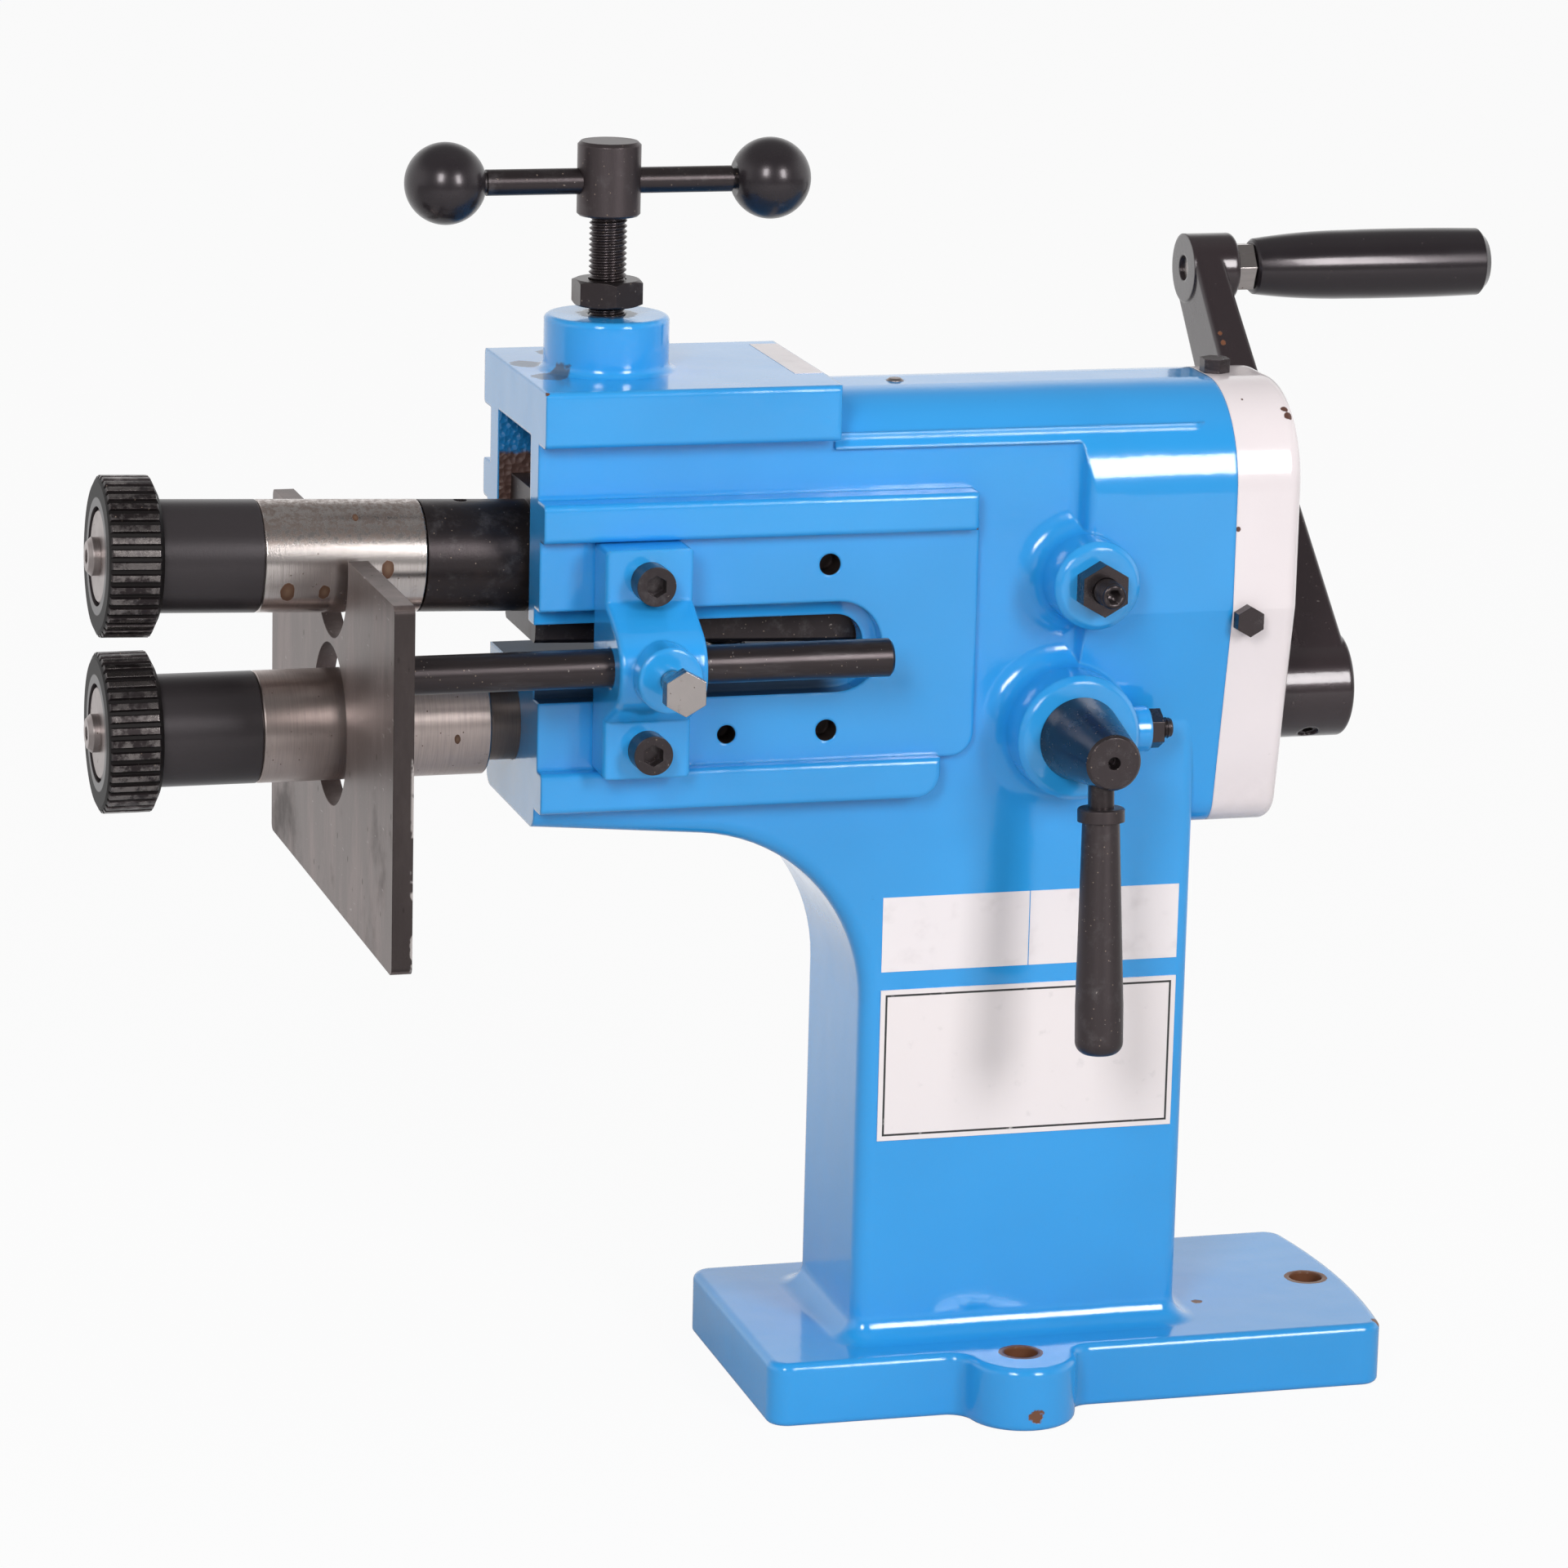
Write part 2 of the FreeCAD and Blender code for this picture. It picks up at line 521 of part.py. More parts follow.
    # cavity for the arm, open at the left end and into the gear case
    cavity_half = "cavity_width / 2"
    pocket(body, "YZ", ("polygon", rectangle("-" + cavity_half, cavity_half,
                                             "axis_height + cavity_floor",
                                             "axis_height + cavity_roof")),
           "-head_reach - 1", "cavity_step_x")
    pocket(body, "YZ", ("polygon", rectangle("-" + cavity_half, cavity_half,
                                             "axis_height + cavity_floor",
                                             "axis_height + cavity_back_roof")),
           "cavity_step_x - 1", "joint_x + spigot_length")

    # slots through both cheeks, with a shallow step round them
    for side in (-1, 1):
        outer = ("panel_face - slot_depth", "house_width")
        inner = (cavity_half + " - 1", "house_width")
        for step, end_x, span in (("0", "slot_end", outer),
                                  ("slot_step", "slot_inner_end", inner)):
            if side < 0:
                span = ("-(%s)" % span[1], "-(%s)" % span[0])
            low = "axis_height + slot_low + %s" % step
            high = "axis_height + slot_high - %s" % step
            radius = "(slot_high - slot_low) / 2 - %s" % step
            shape = [("-head_reach - 1", low), ("%s - (%s)" % (end_x, radius), low),
                     ("%s - (%s)" % (end_x, radius), high), ("-head_reach - 1", high)]
            pocket(body, "XZ", ("polygon", shape, {1: radius + " + 0.001"}), span[0], span[1])

    # bores
    pocket(body, "YZ", ("circle", ("0", "axis_height"), "quill_bore_radius"),
           "-head_reach - 1", "joint_x + 1")
    pocket(body, "XY", ("circle", ("screw_x", "0"), "screw_radius + screw_fit"),
           "axis_height + cavity_roof - 1", "screw_boss_top + 1")
    pocket(body, "XZ", ("circle", ("pivot_x", "pivot_z"), "pivot_radius + running_fit"),
           "-pivot_boss_reach - 1", "pivot_boss_reach + 1")
    pocket(body, "XZ", ("circle", ("shifter_x", "shifter_z"), "shifter_radius + running_fit"),
           "-shifter_reach - 1", "-quill_radius / 2")
    pocket(body, "YZ", ("circle", ("-shifter_reach + lock_depth", "shifter_z"),
                        "lock_radius + seat_fit"), "shifter_x", "lock_face + 2")
    tapped = [("circle", (x, "axis_height + " + z), "thread_radius + seat_fit")
              for x in ("bracket_x", "spare_hole_x") for z in ("0", "bracket_screw_rise")]
    tapped.append(("circle", ("single_hole_x", "axis_height"), "thread_radius - 0.5"))
    pocket(body, "XZ", tapped, "-panel_face - 1", "-panel_face + thread_depth")
    holes = [("circle", ("lug_x", side + "lug_reach"), "bolt_hole_radius")
             for side in ("-", "")]
    holes.append(("circle", ("foot_length / 2 - end_hole_inset", "0"), "bolt_hole_radius"))
    pocket(body, "XY", holes, "-1", "foot_height + 1")
    pocket(body, "XZ", ("circle", ("cover_bolt_x", "axis_height + cover_bolt_rise"),
                        "cover_bolt_radius + seat_fit"), "-house_width", "house_width")
    pocket(body, "XY", ("circle", ("cover_bolt_x", "0"), "cover_bolt_radius + seat_fit"),
           "axis_height + house_top - 20", "axis_height + house_top + 5")
    pocket(body, "XY", ("circle", ("plug_x", "0"), "plug_radius + seat_fit"),
           "axis_height + house_top - plug_depth", "axis_height + house_top + 5")
    return body


def make_cover():
    body = new_body("gear_cover")
    pad(body, "YZ", house_outline("0"), "joint_x", "cover_face")
    face = value("cover_face")
    dress(body, "Fillet", "cover_round", lambda e: lies_at(e, "x", face))
    pocket(body, "YZ", house_outline("cover_wall"), "joint_x - 1", "cover_floor")
    pocket(body, "YZ", ("circle", ("0", "axis_height"), "cover_hole_radius"),
           "cover_floor - 1", "cover_face + 1")
    pocket(body, "XZ", ("circle", ("cover_bolt_x", "axis_height + cover_bolt_rise"),
                        "cover_bolt_radius + 0.3"), "-house_width", "house_width")
    pocket(body, "XY", ("circle", ("cover_bolt_x", "0"), "cover_bolt_radius + 0.3"),
           "axis_height + house_top - 20", "axis_height + house_top + 5")
    return body


def make_cover_bolts():
    """Three hexagon-head screws: front, back and top."""
    body = new_body("cover_bolts")
    z = "axis_height + cover_bolt_rise"
    depth = "cover_wall + spigot_wall - 0.5"
    for side in (-1, 1):
        spans = [("house_width / 2 + 0.05", "house_width / 2 + cover_bolt_head"),
                 ("house_width / 2 - (%s)" % depth, "house_width / 2 + 0.05")]
        shapes = [("polygon", hexagon(("cover_bolt_x", z), "cover_bolt_flats")),
                  ("circle", ("cover_bolt_x", z), "cover_bolt_radius")]
        for (low, high), shape in zip(spans, shapes):
            if side < 0:
                low, high = "-(%s)" % high, "-(%s)" % low
            separate(body, "XZ", shape, low, high)
    top = "axis_height + house_top"
    separate(body, "XY", ("polygon", hexagon(("cover_bolt_x", "0"), "cover_bolt_flats")),
             top + " + 0.05", top + " + cover_bolt_head")
    separate(body, "XY", ("circle", ("cover_bolt_x", "0"), "cover_bolt_radius"),
             top + " - (%s)" % depth, top + " + 0.05")
    return body


def separate(body, plane, shape, low, high):
    """A pad in a body that holds several loose pieces."""
    body.AllowCompound = True
    return pad(body, plane, shape, low, high)


# ---------------------------------------------------------------- spindles
def make_roll(label, base, axis=None, angle="0"):
    """Knurled roll with its long hub; local X starts at the roll's outer face."""
    body = new_body(label, base, axis, angle)
    bore = "shaft_radius + seat_fit"
    turn(body, "X", [("0", "recess_radius"), ("0", "roll_radius - roll_chamfer"),
                     ("roll_chamfer / 2", "roll_radius"),
                     ("roll_width - roll_chamfer", "roll_radius"),
                     ("roll_width", "roll_radius - 2 * roll_chamfer"),
                     ("roll_width", "hub_radius"), ("hub_end - 0.6", "hub_radius"),
                     ("hub_end", "hub_radius - 0.6"), ("hub_end", bore),
                     ("recess_depth", bore), ("recess_depth", "recess_radius")])
    floor = "roll_radius - tooth_depth"
    gap = [("-tooth_gap * 0.3", floor), ("tooth_gap * 0.3", floor),
           ("tooth_gap / 2 + 0.2", "roll_radius + 0.6"),
           ("-tooth_gap / 2 - 0.2", "roll_radius + 0.6")]
    groove = pocket(body, "YZ", ("polygon", gap), "-1", "roll_width + 0.01")
    repeat(body, groove, "X", "roll_teeth")
    keyway(body, "hub_end / 2 + key_length", "shaft_radius")
    return body


def keyway(body, middle, radius):
    """Slot for a key, centred on middle along X, above the shaft."""
    shape = rectangle("-key_width / 2 - seat_fit", "key_width / 2 + seat_fit",
                      radius + " - key_height / 2 - seat_fit",
                      radius + " + key_height / 2 + seat_fit")
    return pocket(body, "YZ", ("polygon", shape), "(%s) - key_length / 2 - seat_fit" % middle,
                  "(%s) + key_length / 2 + seat_fit" % middle)


def make_key(label, base, middle, axis=None, angle="0"):
    body = new_body(label, base, axis, angle)
    pad(body, "YZ", ("polygon", rectangle("-key_width / 2", "key_width / 2",
                                          "shaft_radius - key_height / 2",
                                          "shaft_radius + key_height / 2")),
        "(%s) - key_length / 2" % middle, "(%s) + key_length / 2" % middle)
    return body


def make_tube(label, base, start, end, outer, inner, axis=None, angle="0"):
    """Plain sleeve or bush with lightly broken ends."""
    body = new_body(label, base, axis, angle)
    turn(body, "X", [(start, inner), (start, outer + " - 0.5"), (start + " + 0.5", outer),
                     (end + " - 0.5", outer), (end, outer + " - 0.5"), (end, inner)])
    return body


def make_shaft(label, base, end, key_places, clip_at, axis=None, angle="0"):
    """Straight shaft from the roll's recess to end, with keyways and a clip groove."""
    body = new_body(label, base, axis, angle)
    start = "recess_depth + 0.2"
    bore = "end_screw_radius + seat_fit"
    profile = [(start, bore), (start, "shaft_radius - 0.5"),
               (start + " + 0.5", "shaft_radius")]
    profile += [(clip_at, "shaft_radius"), (clip_at, "shaft_radius - clip_groove"),
                (clip_at + " + clip_thickness + 0.1", "shaft_radius - clip_groove"),
                (clip_at + " + clip_thickness + 0.1", "shaft_radius"),
                (end + " - 0.8", "shaft_radius"), (end, "shaft_radius - 0.8"), (end, "0"),
                (start + " + end_screw_length", "0"),
                (start + " + end_screw_length", bore)]
    turn(body, "X", profile)
    for middle in key_places:
        keyway(body, middle, "shaft_radius")
    return body


def make_end_washer(label, base, axis=None, angle="0"):
    body = new_body(label, base, axis, angle)
    inner = "end_screw_radius + 0.1"
    near = "recess_depth - washer_thickness"
    turn(body, "X", [(near, inner), (near, "washer_radius - 0.8"),
                     (near + " + 0.8", "washer_radius"), ("recess_depth", "washer_radius"),
                     ("recess_depth", inner)])
    return body


def make_end_screw(label, base, axis=None, angle="0"):
    """Button-head screw with a hexagon socket."""
    body = new_body(label, base, axis, angle)
    seat = "recess_depth - washer_thickness"
    head = seat + " - end_screw_head"
    turn(body, "X", [(head, "0"), (head, "end_screw_head_radius - 1.6"),
                     (head + " + 1.6", "end_screw_head_radius"),
                     (seat, "end_screw_head_radius"), (seat, "end_screw_radius"),
                     (seat + " + end_screw_length - 1", "end_screw_radius"),
                     (seat + " + end_screw_length - 1", "0")])
    pocket(body, "YZ", ("polygon", hexagon(("0", "0"), "end_screw_radius + 1")),
           head + " - 1", head + " + end_screw_head * 0.6")
    return body


def make_gear(label, base, hub_start, face_width, axis=None, angle="0"):
    """Spur gear with a hub towards the arm; a gap points straight up."""
    body = new_body(label, base, axis, angle)
    bore = "shaft_radius + seat_fit"
    end = "gear_start + " + face_width
    turn(body, "X", [(hub_start, bore), (hub_start, "gear_hub_radius"),
                     ("gear_start", "gear_hub_radius"), ("gear_start", "gear_tip - 0.6"),
                     ("gear_start + 0.6", "gear_tip"), (end + " - 0.6", "gear_tip"),
                     (end, "gear_tip - 0.6"), (end, bore)])
    slope = "(gear_gap_outer - gear_gap_inner) / (gear_tip - gear_root) / 2"
    reach = "gear_gap_outer / 2 + (%s)" % slope
    gap = [("-gear_gap_inner / 2", "gear_root"), ("gear_gap_inner / 2", "gear_root"),
           (reach, "gear_tip + 1"), ("-(%s)" % reach, "gear_tip + 1")]
    cut = pocket(body, "YZ", ("polygon", gap), "gear_start - 0.01", end + " + 1")
    repeat(body, cut, "X", "gear_teeth")
    keyway(body, "gear_start + %s / 2 - 1" % face_width, "shaft_radius")
    return body


def make_clip(label, base, at, axis=None, angle="0"):
    """Open retaining ring."""
    body = new_body(label, base, axis, angle)
    inner = "shaft_radius - clip_groove + 0.05"
    turn(body, "X", [(at, inner), (at, "clip_radius"), (at + " + clip_thickness", "clip_radius"),
                     (at + " + clip_thickness", inner)])
    pocket(body, "YZ", ("polygon", rectangle("-2", "2", "1", "clip_radius + 1")),
           at + " - 1", at + " + clip_thickness + 1")
    return body


LOWER = ("roll_face", "0", "axis_height")
UPPER = ("pivot_x - roll_reach * cos(arm_open)", "0",
         "pivot_z + roll_reach * sin(arm_open)")
TILT = {"axis": (0, 1, 0), "angle": "arm_open"}
GEAR_KEY = "gear_start + %s / 2 - 1"
ROLL_KEY = "hub_end / 2 + key_length"


def make_spindles():
    upper_clip = "gear_start + upper_gear_width + 0.05"
    lower_clip = "gear_start + lower_gear_width + 0.05"
    crank_end = "crank_right - roll_face"
    crank_key = "crank_left - roll_face + crank_hub_length / 2"
    for prefix, base, extra in (("upper", UPPER, TILT), ("lower", LOWER, {})):
        make_roll(prefix + "_roll", base, **extra)
        make_end_washer(prefix + "_roll_washer", base, **extra)
        make_end_screw(prefix + "_roll_screw", base, **extra)
        make_tube(prefix + "_spacer_sleeve", base, "hub_end + 0.05", prefix + "_sleeve_end",
                  "hub_radius", "shaft_radius + seat_fit", **extra)
        make_key(prefix + "_roll_key", base, ROLL_KEY, **extra)
        make_key(prefix + "_gear_key", base, GEAR_KEY % (prefix + "_gear_width"), **extra)
    make_shaft("upper_shaft", UPPER, upper_clip + " + 3.5",
               [ROLL_KEY, GEAR_KEY % "upper_gear_width"], upper_clip, **TILT)
    make_shaft("lower_shaft", LOWER, crank_end,
               [ROLL_KEY, GEAR_KEY % "lower_gear_width", crank_key], lower_clip)
    make_gear("upper_gear", UPPER, "arm_block_end + end_gap", "upper_gear_width", **TILT)
    make_gear("lower_gear", LOWER, "quill_end + end_gap", "lower_gear_width")
    make_clip("upper_gear_clip", UPPER, upper_clip, **TILT)
    make_clip("lower_gear_clip", LOWER, lower_clip)
    make_key("crank_key", LOWER, crank_key)
    rear_bush = "arm_block_end - bush_length"
    make_tube("upper_front_bush", UPPER, "upper_sleeve_end + end_gap",
              "upper_sleeve_end + end_gap + bush_length", "bush_radius",
              "shaft_radius + running_fit", **TILT)
    make_tube("upper_rear_bush", UPPER, rear_bush, "arm_block_end", "bush_radius",
              "shaft_radius + running_fit", **TILT)
    make_tube("lower_front_bush", LOWER, "lower_sleeve_end + end_gap",
              "lower_sleeve_end + end_gap + bush_length", "bush_radius",
              "shaft_radius + running_fit")
    make_tube("lower_rear_bush", LOWER, "quill_end - bush_length", "quill_end", "bush_radius",
              "shaft_radius + running_fit")


def make_quill():
    """Sliding sleeve that carries the lower shaft through the casting."""
    body = new_body("lower_quill", LOWER)
    start = "lower_sleeve_end + end_gap"
    seat = "bush_radius + seat_fit"
    turn(body, "X", [(start, seat), (start, "quill_radius - 0.6"),
                     (start + " + 0.6", "quill_radius"), ("quill_end - 0.6", "quill_radius"),
                     ("quill_end", "quill_radius - 0.6"), ("quill_end", seat),
                     ("quill_end - bush_length - 0.2", seat),
                     ("quill_end - bush_length - 0.2", "quill_bore"),
                     (start + " + bush_length + 0.2", "quill_bore"),
                     (start + " + bush_length + 0.2", seat)])
    middle = "shifter_x - roll_face"
    half = "shifter_pin_radius + shifter_slot_play"
    height = "shifter_throw - shifter_drop"
    slot = rectangle("%s - (%s)" % (middle, half), "%s + (%s)" % (middle, half),
                     "%s - shifter_slot_height / 2" % height,
                     "%s + shifter_slot_height / 2" % height)
    pocket(body, "XZ", ("polygon", slot), "-quill_radius - 1", "-quill_bore / 2")
    return body


def make_upper_arm():
    """Tube and bearing block that tilt on the two pivot screws."""
    body = new_body("upper_arm", UPPER, **TILT)
    start = "upper_sleeve_end + end_gap"
    seat = "bush_radius + seat_fit"
    half = "arm_block_width / 2"
    pad(body, "YZ", ("polygon", rectangle("-" + half, half, "-arm_block_drop",
                                          "arm_block_rise")),
        "arm_block_start", "arm_block_end")
    dress(body, "Chamfer", "arm_chamfer",
          lambda e: runs_along(e, "x") and box_of(e).ZMax < 0)
    pad(body, "YZ", ("circle", ("0", "0"), "hub_radius - 0.05"), start, "arm_block_start + 1")
    pocket(body, "YZ", ("circle", ("0", "0"), "arm_bore"), start + " - 1",
           "arm_block_end + 1")
    for low, high in ((start + " - 1", start + " + bush_length + 0.2"),
                      ("arm_block_end - bush_length - 0.2", "arm_block_end + 1")):
        pocket(body, "YZ", ("circle", ("0", "0"), seat), low, high)
    pocket(body, "XY", ("circle", ("oil_hole_at", "0"), "oil_hole_radius"), "bush_radius",
           "hub_radius + 1")
    for low, high in (("-%s - 1" % half, "-%s + pivot_depth" % half),
                      ("%s - pivot_depth" % half, "%s + 1" % half)):
        pocket(body, "XZ", ("circle", ("roll_reach", "0"), "pivot_radius + running_fit"),
               low, high)
    spring_at = "(spring_x - roll_face)"
    pocket(body, "XY", ("circle", (spring_at, "0"), "spring_radius + 2.5"),
           "-arm_block_drop - 1", "-arm_block_drop + spring_pocket")
    return body


def make_pivots():
    """Two dog-point screws with lock nuts, one from each side."""
    tip = "arm_block_width / 2 - pivot_depth + 0.4"
    out = "pivot_boss_reach + pivot_screw_out"
    nut = ("pivot_boss_reach + 0.05", "pivot_boss_reach + pivot_nut_height")
    for side, name in ((-1, "front"), (1, "back")):
        screw = new_body(name + "_pivot_screw", ("pivot_x", "0", "pivot_z"))
        low, high = (tip, out) if side > 0 else ("-(%s)" % out, "-(%s)" % tip)
        pad(screw, "XZ", ("circle", ("0", "0"), "pivot_radius"), low, high)
        socket = ("%s - 5" % out, out) if side > 0 else ("-(%s)" % out, "-(%s) + 5" % out)
        pocket(screw, "XZ", ("polygon", hexagon(("0", "0"), "pivot_radius")),
               socket[0], socket[1])
        lock = new_body(name + "_pivot_nut", ("pivot_x", "0", "pivot_z"))
        low, high = nut if side > 0 else ("-(%s)" % nut[1], "-(%s)" % nut[0])
        pad(lock, "XZ", [("polygon", hexagon(("0", "0"), "pivot_nut_flats")),
                         ("circle", ("0", "0"), "pivot_radius + seat_fit")], low, high)


# ---------------------------------------------------------------- clamp screw
def make_clamp():
    base = ("screw_x", "0", "0")
    pad_top = "pad_bottom + pad_thickness"
    seat = pad_top + " - pad_seat"
    pressure_pad = new_body("pressure_pad", base)
    turn(pressure_pad, "Z", [("pad_bottom", "0"), ("pad_bottom", "pad_radius / 2"),
                             ("pad_bottom + 1", "pad_radius"), (pad_top, "pad_radius"),
                             (pad_top, "screw_radius + running_fit - 1"),
                             (seat, "screw_radius + running_fit - 1"), (seat, "0")])
    hub_low = "axis_height + cross_hub_low"
    screw = new_body("clamp_screw", base)
    turn(screw, "Z", [(seat + " + 0.05", "0"), (seat + " + 0.05", "screw_radius - 1"),
                      (pad_top + " + 0.3", "screw_radius - 1"),
                      (pad_top + " + 1.3", "screw_radius"), (hub_low, "screw_radius"),
                      (hub_low, "screw_radius - 1.5"), (hub_low + " + 7", "screw_radius - 1.5"),
                      (hub_low + " + 7", "0")])
    lock = new_body("clamp_lock_nut", base)
    nut_top = "nut_bottom + nut_height"
    pad(lock, "XY", [("polygon", hexagon(("0", "0"), "nut_flats")),
                     ("circle", ("0", "0"), "screw_radius + seat_fit")], "nut_bottom", nut_top)
    corner = "nut_flats * 0.577"
    for edge, inner in (("nut_bottom", nut_top), (nut_top, "nut_bottom")):
        rise = "%s + (%s - (%s)) * 0.14" % (edge, inner, edge)
        turn(lock, "Z", [(edge, "nut_flats / 2 - 0.2"), (edge, corner + " + 1"),
                         (rise, corner + " + 1")], kind="Groove")
    hub = new_body("cross_hub", base)
    hub_high = "axis_height + cross_hub_high"
    cross_z = "axis_height + cross_rise"
    turn(hub, "Z", [(hub_low + " + 7", "0"), (hub_low + " + 7", "screw_radius - 1.5 + seat_fit"),
                    (hub_low, "screw_radius - 1.5 + seat_fit"),
                    (hub_low, "cross_hub_radius - 0.8"), (hub_low + " + 0.8", "cross_hub_radius"),
                    (hub_high + " - 1.2", "cross_hub_radius"),
                    (hub_high, "cross_hub_radius - 1.2"), (hub_high, "0")])
    pocket(hub, "YZ", ("circle", ("0", cross_z), "cross_bar_radius + seat_fit"),
           "-cross_hub_radius - 1", "cross_hub_radius + 1")
    bar = new_body("cross_bar", ("screw_x", "0", cross_z))
    tip = "ball_reach - ball_radius + ball_socket"
    turn(bar, "X", [("-(%s)" % tip, "0"), ("-(%s)" % tip, "cross_bar_radius - 1"),
                    ("-ball_reach + ball_radius", "cross_bar_radius - 1"),
                    ("-ball_reach + ball_radius", "cross_bar_radius"),
                    ("ball_reach - ball_radius", "cross_bar_radius"),
                    ("ball_reach - ball_radius", "cross_bar_radius - 1"),
                    (tip, "cross_bar_radius - 1"), (tip, "0")])
    for name, side in (("left", "-"), ("right", "")):
        ball = new_body(name + "_ball_knob", ("screw_x %s ball_reach" % (side or "+"), "0",
                                              cross_z))
        make_ball(ball, side)


def make_ball(body, side):
    """Ball with a flat neck and a socket towards the hub, which is on the side opposite."""
    sign = "-1" if side else "1"
    flat = "sqrt(ball_radius^2 - ball_neck^2)"
    bottom = "(%s) * (ball_socket - ball_radius)" % sign
    near = "(%s) * (-(%s))" % (sign, flat)
    inner = "cross_bar_radius - 1 + seat_fit"
    far = "(%s) * ball_radius" % sign
    profile = [(near, inner), (near, "ball_neck"), (far, "0"), (bottom, "0"), (bottom, inner)]
    bulge = "-ball_radius" if sign == "1" else "ball_radius"
    turn(body, "X", profile, {1: bulge})


def make_spring():
    """Lifting spring between the jaw and the arm: a helix swept by a round wire."""
    length = value("pivot_rise + (pivot_x - spring_x) * tan(arm_open) - arm_block_drop"
                   " + spring_pocket - cavity_floor - 2 * spring_wire - 2 * end_gap")
    radius = value("spring_radius")
    wire_radius = value("spring_wire")
    helix = Part.makeHelix(length / value("spring_turns"), length, radius)
    start = Part.Circle(Vector(radius, 0, 0), Vector(0, 1, 0), wire_radius)
    coil = Part.Wire(helix.Edges).makePipeShell([Part.Wire([start.toShape()])], True, True)
    spring = doc.addObject("Part::Feature", "arm_lift_spring")
    spring.Label = "arm_lift_spring"
    spring.Shape = coil
    low = value("axis_height + cavity_floor + spring_wire + end_gap")
    spring.Placement = Placement(Vector(value("spring_x"), 0, low), Rotation())
    NODES.append(spring)


# ---------------------------------------------------------------- crank
def make_crank():
    lean = {"axis": (-1, 0, 0), "angle": "crank_lean"}
    base = ("0", "0", "axis_height")
    body = new_body("crank_arm", base, **lean)
    thick = "crank_arm_thickness"
    inner_top = "crank_boss_left"
    inner_root = "crank_boss_left + crank_arm_offset"
    root, tip = "crank_root_half", "crank_boss_radius"
    outline = [("-(%s)" % root, "0"), (root, "0"), (tip, "crank_length"),
               ("-(%s)" % tip, "crank_length")]
    outer_top = "%s + %s" % (inner_top, thick)
    outer_root = inner_root + " + crank_root_thickness"
    pad(body, "YZ", ("polygon", outline), inner_top, outer_root)
    wide = "2 * crank_root_half"
    pocket(body, "XZ", ("polygon", [(inner_top + " - 1", "-1"), (inner_root, "-1"),
                                    (inner_root, "0"), (inner_top, "crank_length"),
                                    (inner_top + " - 1", "crank_length")]),
           "-" + wide, wide)
    pocket(body, "XZ", ("polygon", [(outer_root, "0"), (outer_root + " + 1", "0"),
                                    (outer_root + " + 1", "crank_length + 1"),
                                    (outer_top, "crank_length + 1"),
                                    (outer_top, "crank_length")]), "-" + wide, wide)
    dress(body, "Fillet", "2.5", lambda e: box_of(e).ZLength > value("crank_length") - 1
          and not runs_along(e, "y"))
    pad(body, "YZ", ("circle", ("0", "0"), "crank_hub_radius"), "crank_left", "crank_right")
    pad(body, "YZ", ("circle", ("0", "crank_length"), "crank_boss_radius"),
        "crank_boss_left", "crank_boss_left + crank_boss_length")
    ends = [value(x) for x in ("crank_right", "crank_left",
                               "crank_boss_left + crank_boss_length")]
    dress(body, "Fillet", "2", lambda e: any(lies_at(e, "x", x) for x in ends)
          and box_of(e).YLength > value("crank_boss_radius"))
    pocket(body, "YZ", ("circle", ("0", "0"), "shaft_radius + seat_fit"),
           "crank_left - 1", "crank_right + 1")
    pocket(body, "YZ", ("circle", ("0", "crank_length"), "spindle_radius + seat_fit"),
           "crank_boss_left - 1", "crank_boss_left + crank_boss_length + 1")
    middle = "(crank_left + crank_right) / 2"
    add_leaning_keyway(body, middle)
    pocket(body, "XY", ("circle", (middle, "0"), "lock_radius + seat_fit"),
           "-crank_hub_radius - 1", "-shaft_radius + 1")

    screw = new_body("crank_set_screw", base, **lean)
    pad(screw, "XY", ("circle", (middle, "0"), "lock_radius"),
        "-crank_hub_radius + 1", "-shaft_radius - 0.05")
    pocket(screw, "XY", ("polygon", hexagon((middle, "0"), "lock_radius")),
           "-crank_hub_radius", "-crank_hub_radius + 4")

    spindle = new_body("grip_spindle", base, **lean)
    pad(spindle, "YZ", ("circle", ("0", "crank_length"), "spindle_radius"),
        "crank_boss_left + 1.5", "grip_start + grip_length - 9")
    pad(spindle, "YZ", ("polygon", hexagon(("0", "crank_length"), "spindle_flats")),
        "crank_shoulder + 0.05", "crank_shoulder + spindle_hex")
    pad(spindle, "YZ", ("circle", ("0", "crank_length"), "spindle_radius + 2"),
        "grip_start + grip_length - 11", "grip_start + grip_length - 6")

    x = ("crank_length * sin(crank_lean)", "axis_height + crank_length * cos(crank_lean)")
    grip = new_body("crank_grip", ("grip_start", x[0], x[1]))
    bore = "spindle_radius + 0.08"
    turn(grip, "X", [("0", bore), ("0", "grip_neck_radius - 1"), ("1", "grip_neck_radius"),
                     ("grip_length * 0.40", "grip_belly_radius"),
                     ("grip_length * 0.97", "grip_end_radius"),
                     ("grip_length", "grip_end_radius - 3"), ("grip_length", "5"),
                     ("grip_length - 3", "5"), ("grip_length - 3", "0"),
                     ("grip_length - 5.8", "0"), ("grip_length - 5.8", "spindle_radius + 2.3"),
                     ("grip_length - 11.3", "spindle_radius + 2.3"),
                     ("grip_length - 11.3", bore)],
         {2: "-grip_length * 2.9", 3: "-grip_length * 12"})


